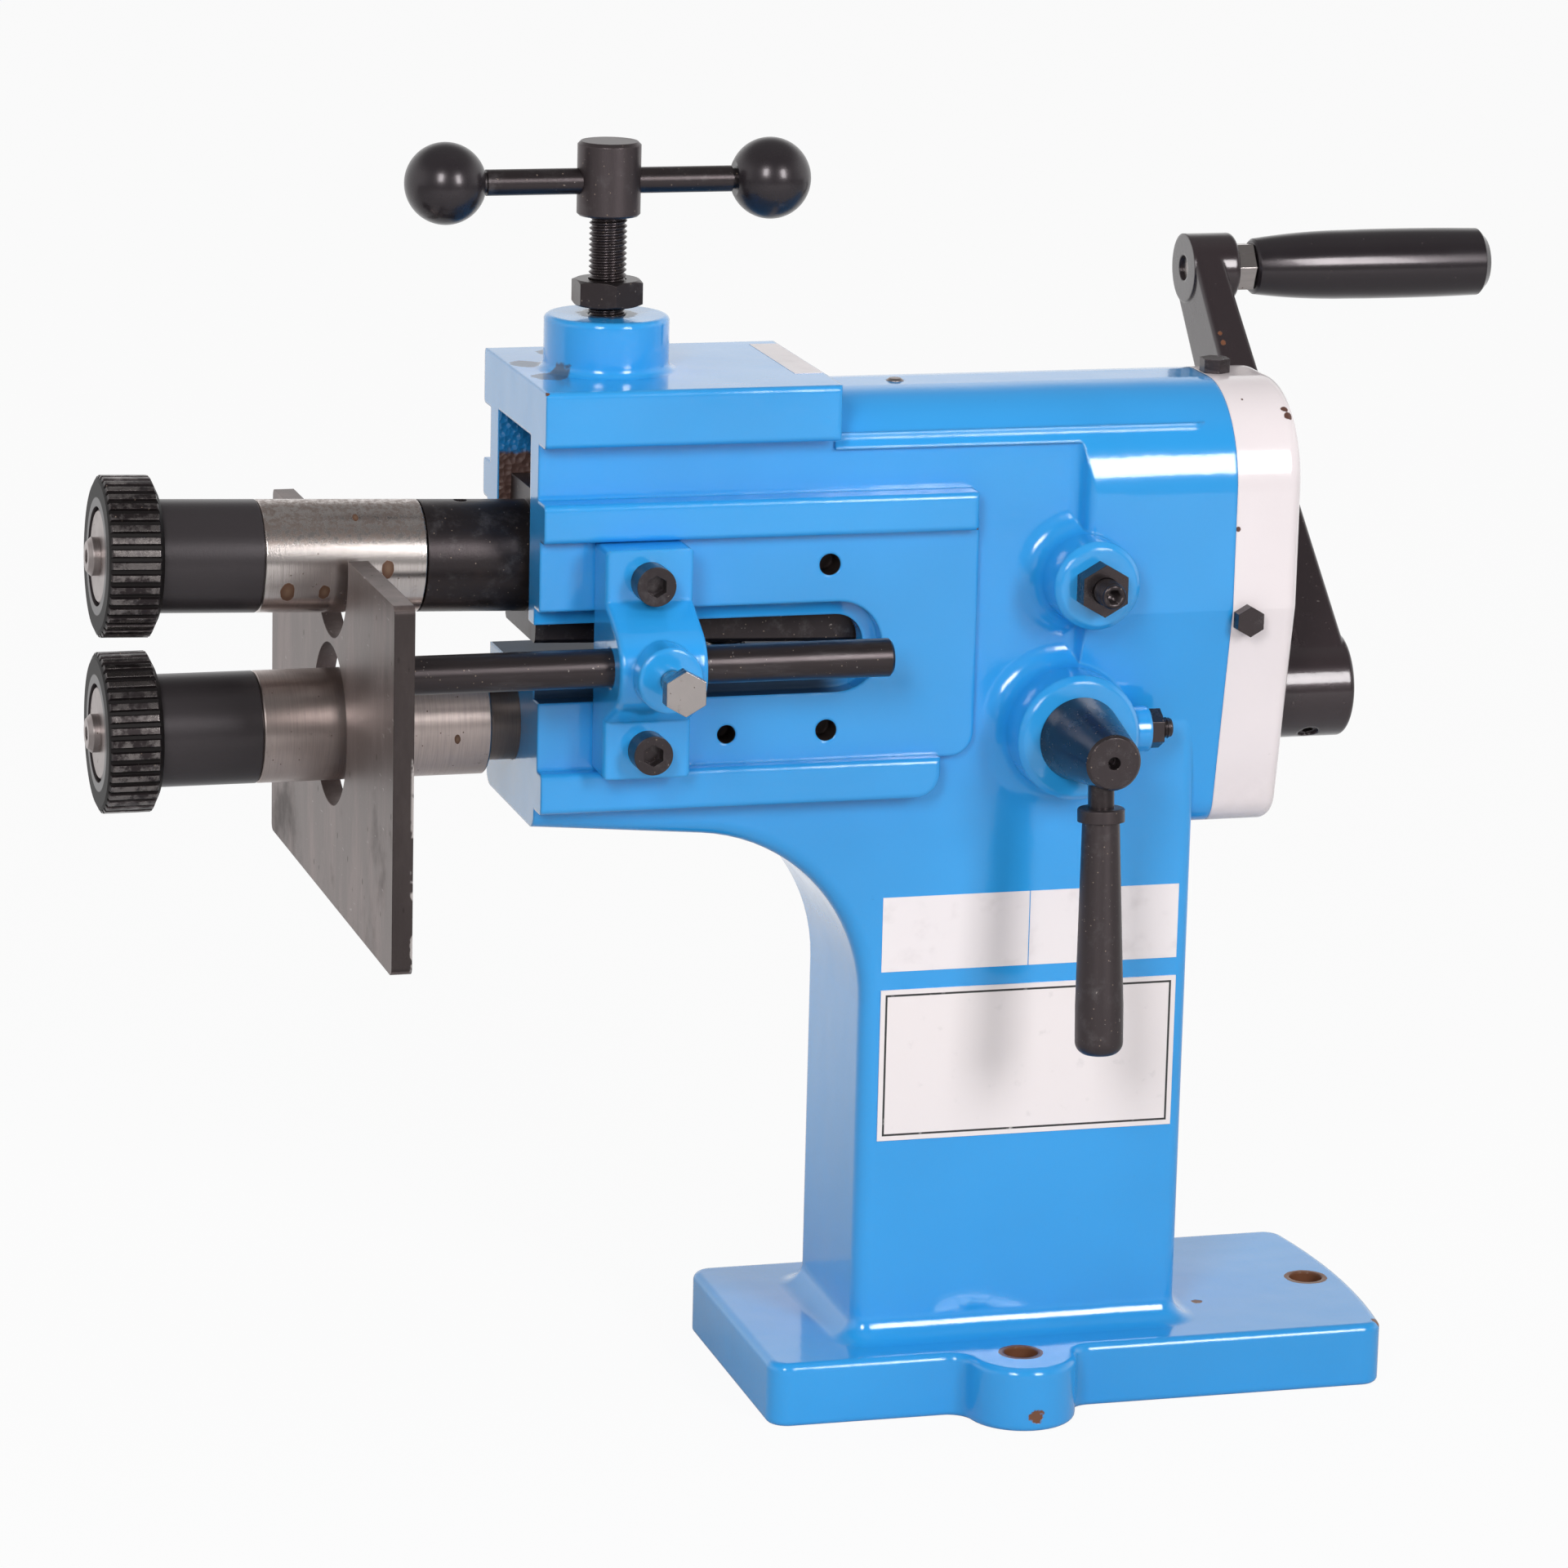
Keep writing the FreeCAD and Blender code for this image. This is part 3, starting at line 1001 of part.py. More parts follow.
def add_leaning_keyway(body, middle):
    """Keyway in the crank's hub, turned back so that it stands upright like the shaft's."""
    lean = "crank_lean"
    half, low, high = "(key_width / 2 + seat_fit)", "5", "(shaft_radius + key_height / 2 + 0.05)"
    corners = []
    for across, up in (("-" + half, low), (half, low), (half, high), ("-" + half, high)):
        corners.append(("(%s) * cos(%s) - (%s) * sin(%s)" % (across, lean, up, lean),
                        "(%s) * sin(%s) + (%s) * cos(%s)" % (across, lean, up, lean)))
    pocket(body, "YZ", ("polygon", corners), middle + " - key_length / 2 - seat_fit",
           middle + " + key_length / 2 + seat_fit")


# ---------------------------------------------------------------- eccentric shifter
def make_shifter():
    base = ("shifter_x", "0", "shifter_z")
    body = new_body("eccentric_shaft", base)
    face = "-shifter_reach - 0.3"
    nose = "-shifter_reach - shifter_nose"
    inner = "-quill_radius - 3"
    lock_y = "-shifter_reach + lock_depth"
    waist = "shifter_radius - lock_groove"
    groove = "lock_radius + 0.6"
    turn(body, "Y", [(inner, "0"), (inner, "shifter_radius"),
                     ("%s + (%s)" % (lock_y, groove), "shifter_radius"),
                     ("%s + (%s)" % (lock_y, groove), waist),
                     ("%s - (%s)" % (lock_y, groove), waist),
                     ("%s - (%s)" % (lock_y, groove), "shifter_radius"),
                     (face, "shifter_radius"), (face, "shifter_root_radius"),
                     (nose + " + 1", "shifter_nose_radius"), (nose, "shifter_nose_radius - 1"),
                     (nose, "0")])
    pad(body, "XZ", ("circle", ("0", "shifter_throw"), "shifter_pin_radius"), inner,
        "-shaft_radius - 1.5")
    pocket(body, "XZ", ("circle", ("0", "0"), "2.4"), nose + " - 1", nose + " + 6")
    drill = pocket(body, "XY", ("circle", ("0", "0"), "stud_radius + seat_fit"),
                   "-shifter_root_radius - 2", "-lever_socket / 2")
    lean_sketch(drill.Profile[0], "-shifter_reach - lever_at", "-lever_socket / 2")


def lean_sketch(sketch, across, along):
    """Turn a sketch on XY about X by the lever's lean, round a point on the shaft's axis."""
    sketch.AttachmentOffset = Placement(Vector(), Rotation(Vector(-1, 0, 0),
                                                           value("lever_lean")))
    bind(sketch, "AttachmentOffset.Rotation.Angle", "lever_lean")
    bind(sketch, "AttachmentOffset.Base.y",
         "%s + (%s) * sin(lever_lean)" % (across, along))
    bind(sketch, "AttachmentOffset.Base.z", "(%s) * cos(lever_lean)" % along)
    doc.recompute()


def make_lever():
    """Stud and tapered handle, square to the cone of the eccentric shaft."""
    y = "-shifter_reach - lever_at"
    base = ("shifter_x", y, "shifter_z")
    lean = {"axis": (-1, 0, 0), "angle": "lever_lean"}
    stud = new_body("lever_stud", base, **lean)
    start = "-lever_socket / 2 - 0.2"
    end = "-lever_neck - lever_socket"
    turn(stud, "Z", [(start, "0"), (start, "stud_radius"), (end, "stud_radius"), (end, "0")])
    handle = new_body("lever_handle", base, **lean)
    top = "-lever_neck"
    low = "-lever_neck - lever_length"
    bore = "stud_radius + seat_fit"
    turn(handle, "Z", [(top, bore), (top, "lever_collar_radius - 0.6"),
                       (top + " - 0.6", "lever_collar_radius"),
                       (top + " - lever_collar", "lever_collar_radius"),
                       (top + " - lever_collar", "lever_top_radius"),
                       (top + " - lever_length * 0.8", "lever_bottom_radius"),
                       (low + " + lever_end_round", "lever_bottom_radius"),
                       (low, "lever_bottom_radius - lever_end_round"), (low, "0"),
                       (end + " - 0.2", "0"), (end + " - 0.2", bore)],
         {6: "-lever_end_round"})


def make_shifter_lock():
    y = "-shifter_reach + lock_depth"
    tip = "shifter_x + shifter_radius - lock_groove + 0.2"
    screw = new_body("shifter_lock_screw", ("0", y, "shifter_z"))
    end = "lock_face + lock_out"
    pad(screw, "YZ", ("circle", ("0", "0"), "lock_radius"), tip, end)
    pocket(screw, "YZ", ("polygon", hexagon(("0", "0"), "lock_radius")), end + " - 4", end)
    nut = new_body("shifter_lock_nut", ("0", y, "shifter_z"))
    pad(nut, "YZ", [("polygon", hexagon(("0", "0"), "lock_nut_flats")),
                    ("circle", ("0", "0"), "lock_radius + seat_fit")],
        "lock_face + 0.05", "lock_face + lock_nut_height")


# ---------------------------------------------------------------- sheet guide
def make_guide():
    rod_z = "axis_height + rod_rise"
    left = "bracket_x - bracket_width / 2"
    right = "bracket_x + bracket_width / 2"
    body = new_body("guide_bracket")
    flange = "-panel_face - bracket_flange"
    bottom = "axis_height + lower_rib_high + 0.3"
    top = "axis_height + upper_rib_low - 0.3"
    side = [("-panel_face", bottom), ("-panel_face", top), (flange, top),
            (flange, rod_z + " + knuckle_rise"), ("rod_y - touch_back", rod_z + " + touch_rise"),
            ("rod_y - touch_back", rod_z + " - touch_rise"), (flange, rod_z + " - knuckle_rise"),
            (flange, bottom)]
    pad(body, "YZ", ("polygon", side, {4: "knuckle_radius"}), left, right)
    dress(body, "Fillet", "head_edge",
          lambda e: lies_at(e, "x", value(left)) or lies_at(e, "x", value(right)))
    pad(body, "XZ", ("circle", ("bracket_x", rod_z), "guide_bolt_boss"), "-bolt_face",
        "rod_y + rod_radius / 2")
    dress(body, "Fillet", "1.2", lambda e: lies_at(e, "y", -value("bolt_face")))
    pocket(body, "YZ", ("circle", ("rod_y", rod_z), "rod_radius + running_fit"),
           left + " - 1", right + " + 1")
    pocket(body, "XZ", ("circle", ("bracket_x", rod_z), "thread_radius + seat_fit"),
           "-bolt_face - 1", "rod_y")
    pocket(body, "XZ", [("circle", ("bracket_x", "axis_height + " + z), "thread_radius + 0.5")
                        for z in ("0", "bracket_screw_rise")], flange + " - 1", "-panel_face + 1")

    screws = new_body("bracket_screws")
    for z in ("0", "bracket_screw_rise"):
        centre = ("bracket_x", "axis_height + " + z)
        separate(screws, "XZ", ("circle", centre, "cap_head_radius"), flange + " - cap_head",
                 flange)
        separate(screws, "XZ", ("circle", centre, "thread_radius"), flange,
                 "-panel_face + thread_depth - 0.5")
        pocket(screws, "XZ", ("polygon", hexagon(centre, "cap_socket")),
               flange + " - cap_head - 1", flange + " - cap_head + 5")

    bolt = new_body("guide_lock_bolt", ("bracket_x", "0", rod_z))
    head = "-bolt_face - guide_bolt_out"
    pad(bolt, "XZ", ("circle", ("0", "0"), "thread_radius"), head, "rod_y - rod_radius - 0.05")
    pad(bolt, "XZ", ("polygon", hexagon(("0", "0"), "guide_bolt_flats")),
        head + " - guide_bolt_head", head)

    rod = new_body("guide_rod", ("0", "rod_y", rod_z))
    plate_right = "plate_left + plate_thickness"
    turn(rod, "X", [(plate_right + " - rod_spigot", "0"),
                    (plate_right + " - rod_spigot", "rod_spigot_radius"),
                    (plate_right + " + 0.05", "rod_spigot_radius"),
                    (plate_right + " + 0.05", "rod_radius"), ("rod_right - 1", "rod_radius"),
                    ("rod_right", "rod_radius - 1"), ("rod_right", "0")])
    plate = new_body("guide_plate")
    half = "plate_width / 2"
    pad(plate, "YZ", ("polygon", rectangle("-" + half, half, "axis_height - plate_low",
                                           "axis_height + plate_high")),
        "plate_left", plate_right)
    dress(plate, "Fillet", "plate_corner", lambda e: runs_along(e, "x"))
    upper_at = "pivot_z + (pivot_x - plate_left) * tan(arm_open)"
    pocket(plate, "YZ", [("circle", ("0", "axis_height"), "plate_hole"),
                         ("circle", ("0", upper_at), "plate_hole")],
           "plate_left - 1", plate_right + " + 1")
    pocket(plate, "YZ", ("circle", ("rod_y", rod_z), "rod_spigot_radius + seat_fit"),
           plate_right + " - rod_spigot - 0.1", plate_right + " + 1")


# ---------------------------------------------------------------- plates and plug
def make_plates():
    y_face = "-web_face"
    plate = new_body("name_plate")
    middle = "axis_height - nameplate_rise"
    pad(plate, "XZ", ("polygon", rectangle("plate_x - nameplate_width / 2",
                                           "plate_x + nameplate_width / 2",
                                           middle + " - nameplate_height / 2",
                                           middle + " + nameplate_height / 2")),
        y_face + " - nameplate_thickness", y_face)
    stickers = new_body("blank_labels")
    middle = "axis_height - sticker_rise"
    split = "plate_x - nameplate_width / 2 + sticker_left_width"
    for left, right in (("plate_x - nameplate_width / 2", split),
                        (split + " + sticker_gap", split + " + sticker_right_width")):
        separate(stickers, "XZ", ("polygon", rectangle(left, right,
                                                       middle + " - sticker_height / 2",
                                                       middle + " + sticker_height / 2")),
                 y_face + " - sticker_thickness", y_face)
    plug = new_body("oil_plug", ("plug_x", "0", "axis_height + house_top"))
    turn(plug, "Z", [("-plug_depth + 0.2", "0"), ("-plug_depth + 0.2", "plug_radius"),
                     ("0.1", "plug_radius"), ("0.9", "plug_radius - 1"), ("0.9", "0")])


# ---------------------------------------------------------------- checks and files
def check_document():
    for thing in doc.Objects:
        if "Invalid" in thing.State or "Error" in thing.State:
            raise RuntimeError("%s failed: %s" % (thing.Label, thing.State))
        if thing.TypeId in ("PartDesign::Pocket", "PartDesign::Groove"):
            before = thing.BaseFeature.Shape.Volume
            if thing.Shape.Volume > before - 1e-3:
                raise RuntimeError(thing.Name + " cuts nothing")
    for node in NODES:
        if node.Shape.isNull() or not node.Shape.isValid():
            raise RuntimeError(node.Label + " has no valid shape")


def write_parts():
    os.makedirs("parts", exist_ok=True)
    for node in NODES:
        node.Shape.exportStep("parts/%s.step" % node.Label)
        print("%-22s %2d solid(s) %10.0f mm3" % (node.Label, len(node.Shape.Solids),
                                                node.Shape.Volume))


make_frame()
make_cover()
make_cover_bolts()
make_spindles()
make_quill()
make_upper_arm()
make_pivots()
make_clamp()
make_spring()
make_crank()
make_shifter()
make_lever()
make_shifter_lock()
make_guide()
make_plates()
doc.recompute()
check_document()
write_parts()
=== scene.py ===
import math

import bpy
from mathutils import Matrix, Vector


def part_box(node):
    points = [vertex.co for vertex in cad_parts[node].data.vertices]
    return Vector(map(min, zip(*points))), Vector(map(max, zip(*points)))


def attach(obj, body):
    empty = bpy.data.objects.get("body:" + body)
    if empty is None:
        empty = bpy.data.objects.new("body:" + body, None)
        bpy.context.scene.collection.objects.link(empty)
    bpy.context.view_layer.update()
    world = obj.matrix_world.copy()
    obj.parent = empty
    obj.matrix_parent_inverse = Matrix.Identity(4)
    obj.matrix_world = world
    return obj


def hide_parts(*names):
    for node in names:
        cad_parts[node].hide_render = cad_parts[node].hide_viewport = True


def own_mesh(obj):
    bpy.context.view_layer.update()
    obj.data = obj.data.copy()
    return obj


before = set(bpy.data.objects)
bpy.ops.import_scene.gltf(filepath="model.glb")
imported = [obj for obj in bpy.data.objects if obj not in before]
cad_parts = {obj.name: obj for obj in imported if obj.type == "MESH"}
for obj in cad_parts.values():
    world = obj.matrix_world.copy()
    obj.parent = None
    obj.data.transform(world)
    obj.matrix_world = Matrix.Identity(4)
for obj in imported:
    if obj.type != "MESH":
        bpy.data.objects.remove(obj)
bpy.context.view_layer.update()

# ------------------------------------------------------------------ places on the object, metres
AXIS_Z = 0.2624            # lower shaft
PIVOT = (-0.0043, 0.3168)  # x and z of the arm's pivot
TILT = math.radians(1.72)  # rise of the upper shaft towards the rolls
SCREW_X = -0.1758          # clamp screw
BOSS_TOP = AXIS_Z + 0.149
BLOCK_TOP = AXIS_Z + 0.1291
HEAD_END_X = -0.2092       # open end of the head, where the shafts come out
FOOT_HOLES = ((-0.025, -0.0635, 0), (-0.025, 0.0635, 0), (0.112, 0, 0))
TAPPED_HOLES = ((-0.1011, AXIS_Z, 0.0043), (-0.1011, AXIS_Z + 0.062, 0.0043),
                (-0.1389, AXIS_Z, 0.0038))  # x, z and radius

# boxes as lowest and highest corner, where None is open
OPEN = (None, None, None)
FOOT = (OPEN, (None, None, 0.032))
TOP_FACES = ((None, None, BLOCK_TOP - 0.0005), OPEN)
TAPPED_DEPTH = ((None, -0.0418, None), (None, -0.028, None))
SLOT_LEDGES = ((HEAD_END_X, -0.0417, None), (None, 0.0417, 0.2840))
HEAD_HOLLOW = ((HEAD_END_X, -0.02575, 0.2832), (0.07, 0.02575, 0.3722))
COVER_FOOT = (OPEN, (None, None, 0.236))
PLATE_EDGE = (OPEN, (None, -0.1076, None))

# spots on the surfaces, each a centre and a radius
CASTING_CHIPS = (((-0.209, -0.0378, 0.30), 0.003), ((-0.025, -0.0855, 0.006), 0.004),
                 ((0.06, -0.02, 0.0245), 0.003), ((-0.2095, -0.0475, 0.3915), 0.0012),
                 ((-0.0464, -0.0485, 0.3363), 0.0018), ((0.1205, -0.055, 0.024), 0.003))
GREASE_SPOTS = (((-0.200, -0.015, 0.3915), 0.008), ((-0.203, 0.012, 0.3915), 0.007),
                ((-0.188, 0.034, 0.3915), 0.006), ((SCREW_X, 0, BOSS_TOP), 0.0125))
COVER_CHIPS = (((0.0768, -0.0343, 0.3732), 0.0024), ((0.0760, -0.0325, 0.3752), 0.0020),
               ((0.0606, -0.0280, 0.3785), 0.0009), ((0.0547, -0.0456, 0.3331), 0.0012),
               ((0.06, 0.0456, 0.30), 0.003))
CRANK_CHIPS = (((0.0875, 0.0690, 0.3823), 0.0014), ((0.0870, 0.0716, 0.3857), 0.0011),
               ((0.0835, 0.05, 0.335), 0.0025))
SLEEVE_RUST = (((-0.2970, -0.0181, 0.3158), 0.0042), ((-0.2835, -0.0180, 0.3154), 0.0034),
               ((-0.2607, -0.0205, 0.3235), 0.0036), ((-0.2711, -0.0122, 0.3414), 0.0018),
               ((-0.2700, 0.0185, 0.3200), 0.0030), ((-0.2900, 0.0120, 0.3420), 0.0024))
LOWER_SLEEVE_RUST = (((-0.2343, -0.0203, 0.2594), 0.0018),)

# ------------------------------------------------------------------ colours
BLUE = (0.027, 0.340, 0.79)
DARK_BLUE = (0.012, 0.13, 0.36)     # darker blue inside the head
# painted shadow and dark reflection for the slot's lower ledges
LEDGE_SHADE = (0.010, 0.022, 0.045)
OFF_WHITE = (0.87, 0.79, 0.805)
OLD_WHITE = (0.42, 0.36, 0.34)
CRANK_BLACK = (0.026, 0.018, 0.020)
PLASTIC_BLACK = (0.016, 0.013, 0.015)
RUST = (0.16, 0.055, 0.02)
PRIMER = (0.10, 0.035, 0.022)
GREASE = (0.055, 0.045, 0.04)
OILY_THREAD = (0.055, 0.040, 0.036)
BARE_IRON = (0.115, 0.062, 0.050)
OXIDE_TINT = (1.12, 0.90, 0.94)     # blacked steel is a little warmer than grey
WARM = (1.0, 0.90, 0.94, 1.0)       # tint of the light that black finishes reflect

# sockets of a Mix node: first value, second value and result
MIX_NUMBERS = (2, 3, 0)
MIX_COLORS = (6, 7, 2)


# ------------------------------------------------------------------ shader helpers
def put(tree, socket, value):
    """Link a socket to another one, or set its own value."""
    if isinstance(value, bpy.types.NodeSocket):
        tree.links.new(value, socket)
    elif isinstance(value, tuple) and len(value) == 3 and socket.type == "RGBA":
        socket.default_value = (*value, 1)
    else:
        socket.default_value = value


def compute(tree, operation, a, b=0.0):
    """Result of one Math node."""
    made = tree.nodes.new("ShaderNodeMath")
    made.operation = operation
    put(tree, made.inputs[0], a)
    put(tree, made.inputs[1], b)
    return made.outputs[0]


def fade(tree, value, low, high, start, end):
    """Smooth step from start at low to end at high."""
    made = tree.nodes.new("ShaderNodeMapRange")
    made.interpolation_type = "SMOOTHSTEP"
    tree.links.new(value, made.inputs["Value"])
    made.inputs["From Min"].default_value, made.inputs["From Max"].default_value = low, high
    made.inputs["To Min"].default_value, made.inputs["To Max"].default_value = start, end
    return made.outputs[0]


def darker(color, share):
    return tuple(c * share for c in color)


class Shader:
    """A principled material with short ways to add nodes."""

    def __init__(self, name, color, rough, metal=0.0, coat=0.0, ior=1.5):
        self.mat = bpy.data.materials.new(name)
        self.mat.use_nodes = True
        self.tree = self.mat.node_tree
        self.main = self.tree.nodes["Principled BSDF"]
        self.main.inputs["IOR"].default_value = ior
        self.main.inputs["Coat Roughness"].default_value = 0.05
        self.mat.diffuse_color = (*color, 1)
        self.color, self.rough, self.metal, self.coat = color, rough, metal, coat
        self.place = self.node("ShaderNodeTexCoord").outputs["Object"]
        self.split = self.node("ShaderNodeSeparateXYZ", Vector=self.place).outputs
        self.height = None

    def node(self, kind, **inputs):
        """A new node with its inputs set or linked."""
        made = self.tree.nodes.new(kind)
        for key, value in inputs.items():
            self.put(made.inputs[key], value)
        return made

    def put(self, socket, value):
        put(self.tree, socket, value)

    def math(self, operation, a, b=0.0):
        return compute(self.tree, operation, a, b)

    def times(self, *values):
        """Product of several masks."""
        result = values[0]
        for value in values[1:]:
            result = self.math("MULTIPLY", result, value)
        return result

    def stretch(self, scale):
        """Object coordinates multiplied along each axis."""
        made = self.node("ShaderNodeMapping", Vector=self.place)
        made.inputs["Scale"].default_value = scale
        return made.outputs[0]

    def noise(self, scale, detail=3.0, rough=0.5, stretch=(1, 1, 1)):
        """Cloudy values between 0 and 1; scale counts the clouds in a metre."""
        made = self.node("ShaderNodeTexNoise", Vector=self.stretch(stretch), Scale=scale,
                         Detail=detail, Roughness=rough)
        return made.outputs["Fac"]

    def cells(self, scale, stretch=(1, 1, 1)):
        """Distance to the nearest of many scattered points."""
        made = self.node("ShaderNodeTexVoronoi", Vector=self.stretch(stretch), Scale=scale)
        return made.outputs["Distance"]

    def ramp(self, value, low, high):
        """0 below low, 1 above high, smooth between; low above high turns it over."""
        if low < high:
            return fade(self.tree, value, low, high, 0.0, 1.0)
        return fade(self.tree, value, high, low, 1.0, 0.0)

    def near(self, centre, radius, soft, axes=(1, 1, 1)):
        """1 within radius of a point, fading over soft; axes of 0 are left out."""
        flat = self.node("ShaderNodeVectorMath")
        flat.operation = "MULTIPLY"
        self.put(flat.inputs[0], self.place)
        flat.inputs[1].default_value = axes
        away = self.node("ShaderNodeVectorMath")
        away.operation = "DISTANCE"
        self.put(away.inputs[0], flat.outputs[0])
        away.inputs[1].default_value = [c * a for c, a in zip(centre, axes)]
        return self.ramp(away.outputs["Value"], radius + soft, radius - soft)

    def reach(self, upper):
        """Distance from the upper or lower shaft's axis."""
        x, y, z = self.split
        if upper:
            rise = self.math("MULTIPLY", self.math("SUBTRACT", x, PIVOT[0]), math.tan(TILT))
            z = self.math("MULTIPLY", self.math("ADD", self.math("SUBTRACT", z, PIVOT[1]), rise),
                          math.cos(TILT))
        else:
            z = self.math("SUBTRACT", z, AXIS_Z)
        return self.math("SQRT", self.math("ADD", self.math("MULTIPLY", y, y),
                                           self.math("MULTIPLY", z, z)))

    def inside(self, low, high, soft=0.0004):
        """1 inside a box; a limit of None is open."""
        masks = []
        for out, a, b in zip(self.split, low, high):
            if a is not None:
                masks.append(self.ramp(out, a - soft, a + soft))
            if b is not None:
                masks.append(self.ramp(out, b + soft, b - soft))
        return self.times(*masks)

    def ragged(self, mask, level=1.1, scale=260, spread=0.9):
        """Break a mask's edge up with fine noise."""
        blend = self.math("ADD", mask, self.math("MULTIPLY", self.noise(scale, 4, 0.6), spread))
        return self.ramp(blend, level, level + 0.12)

    def blend(self, mask, first, second, sockets):
        """From first, where mask is 0, to second, where it is 1."""
        made = self.tree.nodes.new("ShaderNodeMix")
        if sockets is MIX_COLORS:
            made.data_type = "RGBA"
        a, b, result = sockets
        self.put(made.inputs["Factor"], mask)
        self.put(made.inputs[a], first)
        self.put(made.inputs[b], second)
        return made.outputs[result]

    def mix(self, mask, color=None, rough=None, metal=None, coat=None):
        """Lay a second finish over the first where mask is 1."""
        if color is not None:
            self.color = self.blend(mask, self.color, color, MIX_COLORS)
        for key, value in (("rough", rough), ("metal", metal), ("coat", coat)):
            if value is not None:
                setattr(self, key, self.blend(mask, getattr(self, key), value, MIX_NUMBERS))
        return self

    def raise_by(self, value, distance):
        """Add a height in metres to the surface's relief."""
        step = self.math("MULTIPLY", value, distance)
        self.height = step if self.height is None else self.math("ADD", self.height, step)
        return self

    def done(self, round_edges=0.0):
        """Connect everything; round_edges is the radius that edges seem to have."""
        self.put(self.main.inputs["Base Color"], self.color)
        self.put(self.main.inputs["Roughness"], self.rough)
        self.put(self.main.inputs["Metallic"], self.metal)
        self.put(self.main.inputs["Coat Weight"], self.coat)
        normal = None
        if round_edges:
            bevel = self.node("ShaderNodeBevel", Radius=round_edges)
            bevel.samples = 6
            normal = bevel.outputs[0]
        if self.height is not None:
            bump = self.node("ShaderNodeBump", Distance=1.0, Height=self.height)
            if normal is not None:
                self.put(bump.inputs["Normal"], normal)
            normal = bump.outputs[0]
        if normal is not None:
            self.put(self.main.inputs["Normal"], normal)
            self.put(self.main.inputs["Coat Normal"], normal)
        return self.mat


# ------------------------------------------------------------------ finishes
def paint(name, color, rough=0.15, wave=0.0006, coat=0.5):
    """Glossy sprayed enamel over a casting: slow waves, fine peel, dust and grime."""
    s = Shader(name, color, rough, coat=coat)
    s.mix(s.ramp(s.noise(7), 0.35, 0.7), darker(color, 0.88))
    s.mix(s.ramp(s.noise(55, 5, 0.65), 0.5, 0.8), rough=rough + 0.08)
    grime = s.ramp(s.noise(140, 6, 0.7), 0.69, 0.76)
    s.mix(s.times(grime, 0.35), darker(color, 0.4), rough=0.5)
    s.raise_by(s.noise(22, 2), wave)
    s.raise_by(s.noise(420, 2), 0.00003)
    return s


def chips(s, spots, color=RUST):
    """Knock paint off round each spot."""
    for centre, radius in spots:
        worn = s.ragged(s.near(centre, radius, radius * 0.9))
        s.mix(worn, color, rough=0.7, metal=0.1)
        s.raise_by(worn, -0.00015)


def casting_enamel():
    """The blue casting, with bare, greasy and dirty places, and painted shadow on the slot's
    lower ledges.
    """
    s = paint("blue_enamel", BLUE)
    # bare, rusty seats of the three foot holes
    foot = s.inside(*FOOT)
    for centre in FOOT_HOLES:
        ring = s.times(s.near(centre, 0.0088, 0.001, axes=(1, 1, 0)), foot)
        s.mix(s.ragged(ring, 1.15), RUST, rough=0.75, metal=0.1)
    chips(s, CASTING_CHIPS)
    # dark, greasy patches on the top block and round the clamp screw
    top = s.inside(*TOP_FACES)
    for centre, radius in GREASE_SPOTS:
        smear = s.times(s.ragged(s.near(centre, radius, radius * 0.8), 1.0, 180), top)
        s.mix(s.times(smear, 0.75), GREASE, rough=0.45)
    # bare, oily thread inside the tapped holes, 1.25 mm to a turn
    bore = s.inside(*TAPPED_DEPTH, soft=0.0002)
    thread_turn = 5000.0
    for x, z, radius in TAPPED_HOLES:
        hole = s.times(bore, s.near((x, 0, z), radius, 0.0001, axes=(1, 0, 1)))
        s.mix(hole, OILY_THREAD, rough=0.4, metal=0.6, coat=0.0)
        turns = s.math("SINE", s.math("MULTIPLY", s.split[1], thread_turn))
        s.raise_by(s.times(hole, turns), 0.0001)
    # painted shadow and dark reflection on the slot's lower ledges under the rod and arm, fading
    # out towards its closed end
    ledge = s.times(s.inside(*SLOT_LEDGES, soft=0.0003), s.ramp(s.split[0], -0.084, -0.104),
                    s.ramp(s.split[2], 0.2745, 0.2760))
    s.mix(s.times(ledge, 0.9), LEDGE_SHADE, rough=0.62, coat=0.0)
    # inside of the head: rough, darker blue above, bare brown iron below an uneven line
    cave = s.inside(*HEAD_HOLLOW, soft=0.00015)
    s.raise_by(s.times(cave, s.cells(420)), 0.0007)
    s.mix(s.times(cave, 0.6), DARK_BLUE, rough=0.2)
    uneven_z = s.math("ADD", s.split[2], s.times(s.noise(70, 4, 0.6), 0.014))
    s.mix(s.times(cave, s.ramp(uneven_z, 0.3645, 0.3625)), BARE_IRON, rough=0.55, metal=0.1)
    return s.done(0.0016)


def cover_enamel():
    """The off-white gear cover, chipped to the primer and dirty near its foot."""
    s = paint("white_enamel", OFF_WHITE, 0.17, 0.00025)
    chips(s, COVER_CHIPS, PRIMER)
    low = s.times(s.inside(*COVER_FOOT, soft=0.012), s.noise(90, 5, 0.7))
    s.mix(s.times(low, 0.35), OLD_WHITE, rough=0.35)
    return s.done(0.0012)


def crank_enamel():
    """The crank's black paint, with rusty chips and grey dust."""
    s = paint("black_enamel", CRANK_BLACK, 0.24, 0.0003)
    s.main.inputs["Specular Tint"].default_value = WARM
    chips(s, CRANK_CHIPS)
    s.mix(s.ramp(s.noise(320, 4, 0.7), 0.66, 0.72), (0.10, 0.085, 0.08), rough=0.5)
    return s.done(0.0012)


